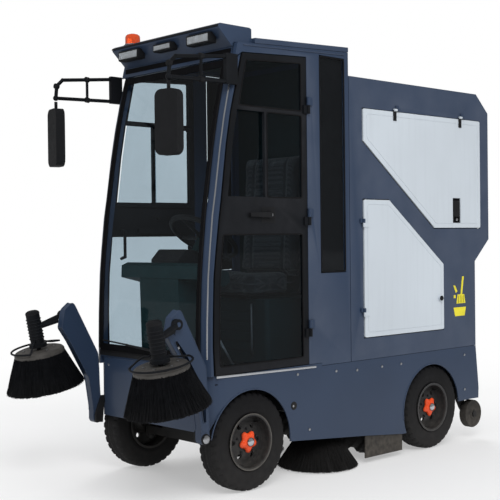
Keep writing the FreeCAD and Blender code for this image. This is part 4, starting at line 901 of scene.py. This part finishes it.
for s, side in ((1, "left"), (-1, "right")):
    arm = side + "_arm"
    # flanges of the pressed channel arm
    outer = [(-1004, 318), (-1004, 345), (-1026, 489), (-1136, 685), (-1183, 754), (-1164, 844), (-1122, 877), (-1108, 866), (-971, 612), (-966, 535), (-964, 458), (-955, 318)]
    for nm, x in (("out", 441), ("in", 403)):
        pipe("%s_arm_flange_%s" % (side, nm), rounded([(s * x, y, z) for y, z in outer], 10), 2.4, "slate", arm, 8, closed=True, res=1)
    pipe(side + "_arm_slot_rim", rounded([(s * 442.5, y, z) for y, z in [(-990, 360), (-1010, 490), (-1118, 682), (-1150, 735), (-1138, 745), (-1085, 680), (-986, 520), (-972, 470), (-972, 360)]], 7),
         2.2, "slate", arm, 8, closed=True, res=1)
    turned(side + "_arm_pivot_cap", [(0, 6), (16, 6), (19, 3), (20, 0), (0, 0)], (s * 446.2, -978, 285), (s, 0, 0), "steel", "chassis", 32)
    turned(side + "_arm_pivot_ring", [(14, 2.6), (24, 2.6), (26, 0.6), (26, 0), (14, 0)], (s * 442, -978, 285), (s, 0, 0), "frame", arm, 36)
    pipe(side + "_arm_hose", [(s * 424, -984, 350), (s * 430, -992, 430), (s * 432, -1022, 520), (s * 432, -1082, 640), (s * 432, -1128, 720), (s * 436, -1152, 782)], 7.5, "rubber",
         arm, 10)
    for i, (y, z) in enumerate(((-1000, 450), (-1058, 600), (-1122, 710))):
        turned("%s_hose_clip_%d" % (side, i), [(8, -6), (10.5, -6), (11, -5), (11, 5), (10.5, 6), (8, 6)], (s * 431, y - 3, z), (0, -0.5, 0.86), "steel", arm, 20)
    # head: guard hoop with stays, cooling fins and motor cap
    hd = side + "_head"
    hoop = []
    for k in range(15):
        a = math.radians(100 + k * 15) if s < 0 else math.radians(80 - k * 15)
        hoop.append((s * 488 + 138 * math.cos(a), -1262 + 138 * math.sin(a) * 0.98, 657 + 138 * math.sin(a) * 0.19))
    pipe(side + "_guard_hoop", hoop, 5, "frame", hd, 10, res=3)
    for nm, k in (("a", 0), ("b", 14)):
        hx, hy, hz = hoop[k]
        pipe("%s_guard_stay_%s" % (side, nm), [(hx, hy, hz), (s * 488 + (hx - s * 488) * 0.6, -1262 + (hy + 1262) * 0.6 - 3, 682), (s * 488 + (hx - s * 488) * 0.3, -1262 + (hy + 1262) * 0.3 - 7, 690)],
             4.5, "frame", hd, 8, res=3)
    for i in range(7):
        h = 66 + i * 16
        turned("%s_motor_fin_%d" % (side, i), [(33, h), (37.5, h + 0.6), (37.5, h + 3.4), (33, h + 4)], (s * 488, -1262, 640), (0, -math.sin(t11), math.cos(t11)), "frame", hd, 32)
    turned(side + "_motor_cap", [(0, 208), (22, 207), (31, 202), (35, 196), (35, 188), (33, 188), (33, 180), (0, 180)], (s * 488, -1262, 640), (0, -math.sin(t11), math.cos(t11)), "plastic",
           hd, 32, 0.001)
    # wheel-well liner and well tops
    slab(side + "_well_liner", (s * 205 if s > 0 else -208, -905, 390), (s * 208 if s > 0 else -205, -436, 541), "dark", "chassis", 0.001)
    slab(side + "_well_top", (s * 208 if s > 0 else -433, -905, 520), (s * 433 if s > 0 else -208, -436, 524), "dark", "chassis", 0.001)
    slab(side + "_rear_well_top", (s * 208 if s > 0 else -433, 430, 506), (s * 433 if s > 0 else -208, 950, 510), "dark", "chassis", 0.001)
    # arch edge beads
    for nm, cy2, r0, a0, a1 in (("front", -690, 255, -4, 168), ("rear", 690, 250, 5, 187)):
        pts = []
        for k in range(25):
            a = math.radians(a0 + (a1 - a0) * k / 24)
            pts.append((s * 440, cy2 + (r0 + 3) * math.cos(a), 222 + (r0 + 3) * math.sin(a)))
        pipe("%s_%s_arch_bead" % (side, nm), pts, 3.4, "slate", "chassis", 8, res=2)
    # generic pictogram film: yellow broom over a yellow dust pan, dark bars on the broom head
    d = 0.8
    xf = 440.1
    ico = {"handle": [(985, 955), (1002, 955), (984, 852), (968, 852)], "head": [(940, 852), (1004, 852), (1014, 800), (928, 800)],
           "pan": [(900, 778), (1020, 778), (1006, 728), (914, 728)], "grip": [(900, 905), (916, 905), (938, 870), (922, 862)], "dot": [(903, 850), (921, 850), (921, 832), (903, 832)]}
    for k, poly in ico.items():
        extrude_yz("%s_film_%s" % (side, k), poly, s * xf, s * (xf + d), "yellow", "chassis", 0.0003)
    for i in range(4):
        y = 946 + i * 17
        extrude_yz("%s_film_bar_%d" % (side, i), [(y, 846), (y + 3, 846), (y + 2, 804), (y - 2, 804)], s * (xf + 0.85), s * (xf + 1.2), "dark", "chassis", 0.0001)
    # cable grommet on the side skirt
    turned(side + "_skirt_port", [(0, 3.5), (15, 3.5), (19, 2.5), (20, 0), (0, 0)], (s * 440, -408, 370), (s, 0, 0), "plastic", "chassis", 32)

# bumper dressing: press line, screws and two flush marker lamps
for s, side in ((1, "left"), (-1, "right")):
    slab(side + "_tail_lamp", (s * 300 if s > 0 else -400, 1112.5, 900), (s * 400 if s > 0 else -300, 1121, 985), "red", "chassis", 0.004)
    slab(side + "_tail_lamp_amber", (s * 300 if s > 0 else -400, 1112.5, 862), (s * 400 if s > 0 else -300, 1121, 896), "orange", "chassis", 0.004)
    turned(side + "_bumper_screw", [(0, 4), (6, 3.4), (8, 0.6), (8, 0), (0, 0)], (s * 330, -955, 560), (0, -1, 0.1), "steel", "chassis", 20)
pipe("bumper_press_line", [(x, -959.6, 596) for x in (-330, -160, 0, 160, 330)], 2.4, "slate", "chassis", 8)
slab("plate_holder", (-130, 1113, 690), (130, 1117, 770), "plastic", "chassis", 0.003)
slab("plate_blank", (-122, 1117, 696), (122, 1118.4, 764), "white", "chassis", 0.002)
turned("gate_pull", [(0, 12), (17, 12), (20, 9), (20, 3), (15, 0), (0, 0)], (0, 1258.5, 1270), (0, 1, 0), "plastic", "gate", 32)
gp = rounded([(x, 1259, z) for x, z in ((-346, 1255), (346, 1255), (346, 1845), (-346, 1845))], 18)
pipe("gate_press_line", gp, 2.2, "slate", "gate", 8, closed=True, res=1)
for i in range(6):
    slab("rear_louvre_%d" % i, (-180, 1112, 560 + i * 18), (180, 1116.5, 569 + i * 18), "dark", "chassis", 0.0015)
for i in range(5):
    slab("roof_vent_lip_%d" % i, (-154, 296 + 60 * i, 2017), (154, 300 + 60 * i, 2022), "slate", "chassis", 0.0012)


# ------------------------------------------------------------------------------ cab interior
slab("rear_trim", (-386, 2, 566), (386, 5, 2100), "lining", "chassis", 0.002)
extrude_yz("headliner", [(-640, 2098), (0, 2127), (0, 2131), (-640, 2102)], -386, 386, "lining", "chassis", 0.001)
v, f = [], []
nx, ny = 60, 56
for i in range(nx + 1):
    for j in range(ny + 1):
        x, y = -380 + 760 * i / nx, -880 + 440 * j / ny
        z = 560.5 + (2.0 if (i % 3 and j % 3) else 0)
        v.append(P(x, y, z))
for i in range(nx):
    for j in range(ny):
        k = i * (ny + 1) + j
        x = -380 + 760 * (i + 0.5) / nx
        y = -880 + 440 * (j + 0.5) / ny
        if abs(x) < 165 and y < -682:
            continue
        f.append((k, k + ny + 1, k + ny + 2, k + 1))
o = add("floor_mat", v, f, "rubber", "chassis", False)
sd = o.modifiers.new("wall", "SOLIDIFY")
sd.thickness = 0.002
for s, side in ((1, "left"), (-1, "right")):
    slab(side + "_b_trim", (s * 408 if s > 0 else -421, -292, 566), (s * 421 if s > 0 else -408, -2, 1000), "lining", "chassis", 0.003)
    slab(side + "_door_pocket", (s * 402 if s > 0 else -422, -690, 1216), (s * 422 if s > 0 else -402, -352, 1222), "plastic", side + "_door", 0.002)
    turned(side + "_lock_knob", [(0, 14), (7, 13), (9, 10), (9, 0), (0, 0)], (s * 424, -560, 1300), (-s, 0, 0), "plastic", side + "_door", 24)
    turned(side + "_handle_key", [(0, 3), (8, 3), (9, 2), (9, 0), (0, 0)], (s * 456, -560, 1300), (s, 0, 0), "steel", side + "_handle", 24)
    slab(side + "_handle_plate", (s * 440.1 if s > 0 else -440.9, -612, 1262), (s * 440.9 if s > 0 else -440.1, -520, 1338), "plastic", side + "_door", 0.0003)
    # rubber beads round the door panes
    for nm, poly in (("low", [(-334, 602), (-334, 1207), (-855, 1207), (-862, 1138), (-876, 1011), (-883, 820), (-882, 602)]),
                     ("mid", [(-334, 1384), (-334, 1788), (-570, 1788), (-570, 1384)]),
                     ("up", [(-334, 1810), (-334, 2044), (-700, 2024), (-728, 1906), (-750, 1810)])):
        pipe("%s_pane_bead_%s" % (side, nm), rounded([(s * 438.5, y, z) for y, z in poly], 12), 4.0, "rubber", side + "_door", 8, closed=True, res=1)
# console: display hood, screen, switches, stalk
hood = extrude_yz("display_hood", [(-850, 1062), (-742, 1040), (-736, 1050), (-758, 1128), (-800, 1140), (-850, 1090)], -110, 110, "plastic", "chassis", 0.006, 3)
v = [P(-92, -745.2, 1056), P(92, -745.2, 1056), P(92, -760.4, 1118), P(-92, -760.4, 1118)]
n = (v[1] - v[0]).cross(v[2] - v[0]).normalized() * -0.0015
v2 = [p + n for p in v]
add("display_screen", v + v2, [(0, 1, 2, 3), (7, 6, 5, 4), (0, 4, 5, 1), (1, 5, 6, 2), (2, 6, 7, 3), (3, 7, 4, 0)], "lamp", "chassis", True, 0.0008)
for i in range(6):
    x = -280 + i * 26 if i < 3 else 120 + (i - 3) * 26
    slab("rocker_%d" % i, (x, -742, 1006), (x + 18, -706, 1032), "dark" if i % 2 else "plastic", "chassis", 0.003)
pipe("stalk", [(20, -640, 1136), (90, -650, 1150), (150, -655, 1168)], 5, "plastic", "chassis", 10)
turned("column_shroud", [(0, 0), (36, 0), (42, 14), (42, 96), (36, 110), (28, 112), (0, 112)], (0, -716, 1025), (0, 130, 190), "plastic", "chassis", 40)
turned("wheel_boss_pad", [(0, 10), (30, 9), (36, 5), (38, 0), (0, 0)], (0, -610 + 0.5647 * 24, 1180 + 0.8253 * 24), (0, 130, 190), "plastic", "steering", 40)
for nm, x0, x1, body in (("accelerator", 197, 253, "accelerator"), ("brake", -263, -187, "brake")):
    for i in range(5):
        y, z = -654 - i * 15, 600 + i * 22
        pipe("%s_tread_%d" % (nm, i), [(x0 + 4, y, z + 6), ((x0 + x1) / 2, y, z + 6), (x1 - 4, y, z + 6)], 3, "rubber", body, 8)
pipe("seat_belt", [(236, -150, 905), (244, -140, 960), (238, -130, 1080)], 9, "piping", "chassis", 8)
# battery case straps
for i, x in enumerate((-180, 180)):
    pipe("battery_strap_%d" % i, [(x, -440, 600), (x, -440.5, 740), (x, -441, 860)], 5, "steel", "chassis", 8)


# ------------------------------------------------------------------------------ seat, by cloth simulation
def cushion(name, node, body, shrink, cap, voxel, grooves):
    src = N[node]
    me = src.data.copy()
    o = bpy.data.objects.new(name, me)
    COL.objects.link(o)
    if "custom_normal" in me.attributes:
        me.attributes.remove(me.attributes["custom_normal"])
    lo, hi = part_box(node)
    c = (lo + hi) / 2
    for vt in me.vertices:
        for k in range(3):
            half = (hi[k] - lo[k]) / 2
            vt.co[k] = c[k] + (vt.co[k] - c[k]) * (half - shrink) / half
    bpy.context.view_layer.objects.active = o
    for x in bpy.context.selected_objects:
        x.select_set(False)
    o.select_set(True)
    r = o.modifiers.new("remesh", "REMESH")
    r.mode = "VOXEL"
    r.voxel_size = voxel
    bpy.ops.object.modifier_apply(modifier="remesh")
    rest = [v.co.copy() for v in o.data.vertices]
    cl = o.modifiers.new("cloth", "CLOTH")
    st = cl.settings
    st.use_pressure = True
    st.uniform_pressure_force = 4.0
    st.effector_weights.gravity = 0.0
    st.mass = 0.3
    st.quality = 5
    cl.point_cache.frame_start, cl.point_cache.frame_end = 1, 20
    for fr in range(1, 21):
        SC.frame_set(fr)
    dg = bpy.context.evaluated_depsgraph_get()
    ev = o.evaluated_get(dg).to_mesh()
    pos = [v.co.copy() for v in ev.vertices]
    o.evaluated_get(dg).to_mesh_clear()
    o.modifiers.remove(cl)
    SC.frame_set(1)
    for vt, a, b in zip(o.data.vertices, rest, pos):
        d = b - a
        if d.length > cap:
            d = d.normalized() * cap
        vt.co = a + d
    # crown, sewn channels and seams
    for vt in o.data.vertices:
        grooves(vt, lo, hi, c)
    s2 = o.modifiers.new("smooth", "SMOOTH")
    s2.factor, s2.iterations = 0.5, 3
    sb = o.modifiers.new("subd", "SUBSURF")
    sb.levels = sb.render_levels = 1
    o.data.materials.clear()
    o.data.materials.append(M["fabric"])
    smooth(o.data)
    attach(o, body)
    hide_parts(node)
    return o


def sew(d, width, depth):
    return -depth * math.exp(-(d / width) ** 2)


def seat_groove(vt, lo, hi, c):
    if vt.co.z > c.z:
        x, y = vt.co.x - c.x, vt.co.y - c.y
        g = 0
        for gx in (-0.115, 0.115):
            g += sew(x - gx, 0.006, 0.009)
        if abs(x) < 0.115:
            for gy in (-0.09, -0.03, 0.03, 0.09):
                g += sew(y - gy, 0.005, 0.006)
        vt.co.z += g - 0.010 * (1 - min(1, (abs(x) / 0.12) ** 2))


def back_groove(vt, lo, hi, c):
    if vt.co.y < lo.y + (hi.y - lo.y) * (0.5 + 0.35 * (vt.co.z - lo.z) / (hi.z - lo.z)):
        x = vt.co.x - c.x
        g = 0
        for gx in (-0.12, 0.12):
            g += sew(x - gx, 0.006, 0.009)
        if abs(x) < 0.12:
            for k in range(5):
                g += sew(vt.co.z - (lo.z + 0.10 + 0.095 * k), 0.005, 0.006)
        vt.co.y -= g


cushion("seat_cushion_cover", "seat_cushion", "seat", 0.012, 0.012, 0.007, seat_groove)
cushion("seat_back_cover", "seat_back", "backrest", 0.010, 0.012, 0.007, back_groove)
pipe("cushion_piping", [(-222, -486, 960), (0, -494, 960), (222, -486, 960), (232, -340, 960), (222, -190, 960), (0, -184, 960), (-222, -190, 960), (-232, -340, 960)], 3.6, "piping",
     "seat", 8, closed=True, res=8)
slab("seat_pan", (-215, -480, 901.5), (215, -190, 912), "plastic", "seat", 0.004)
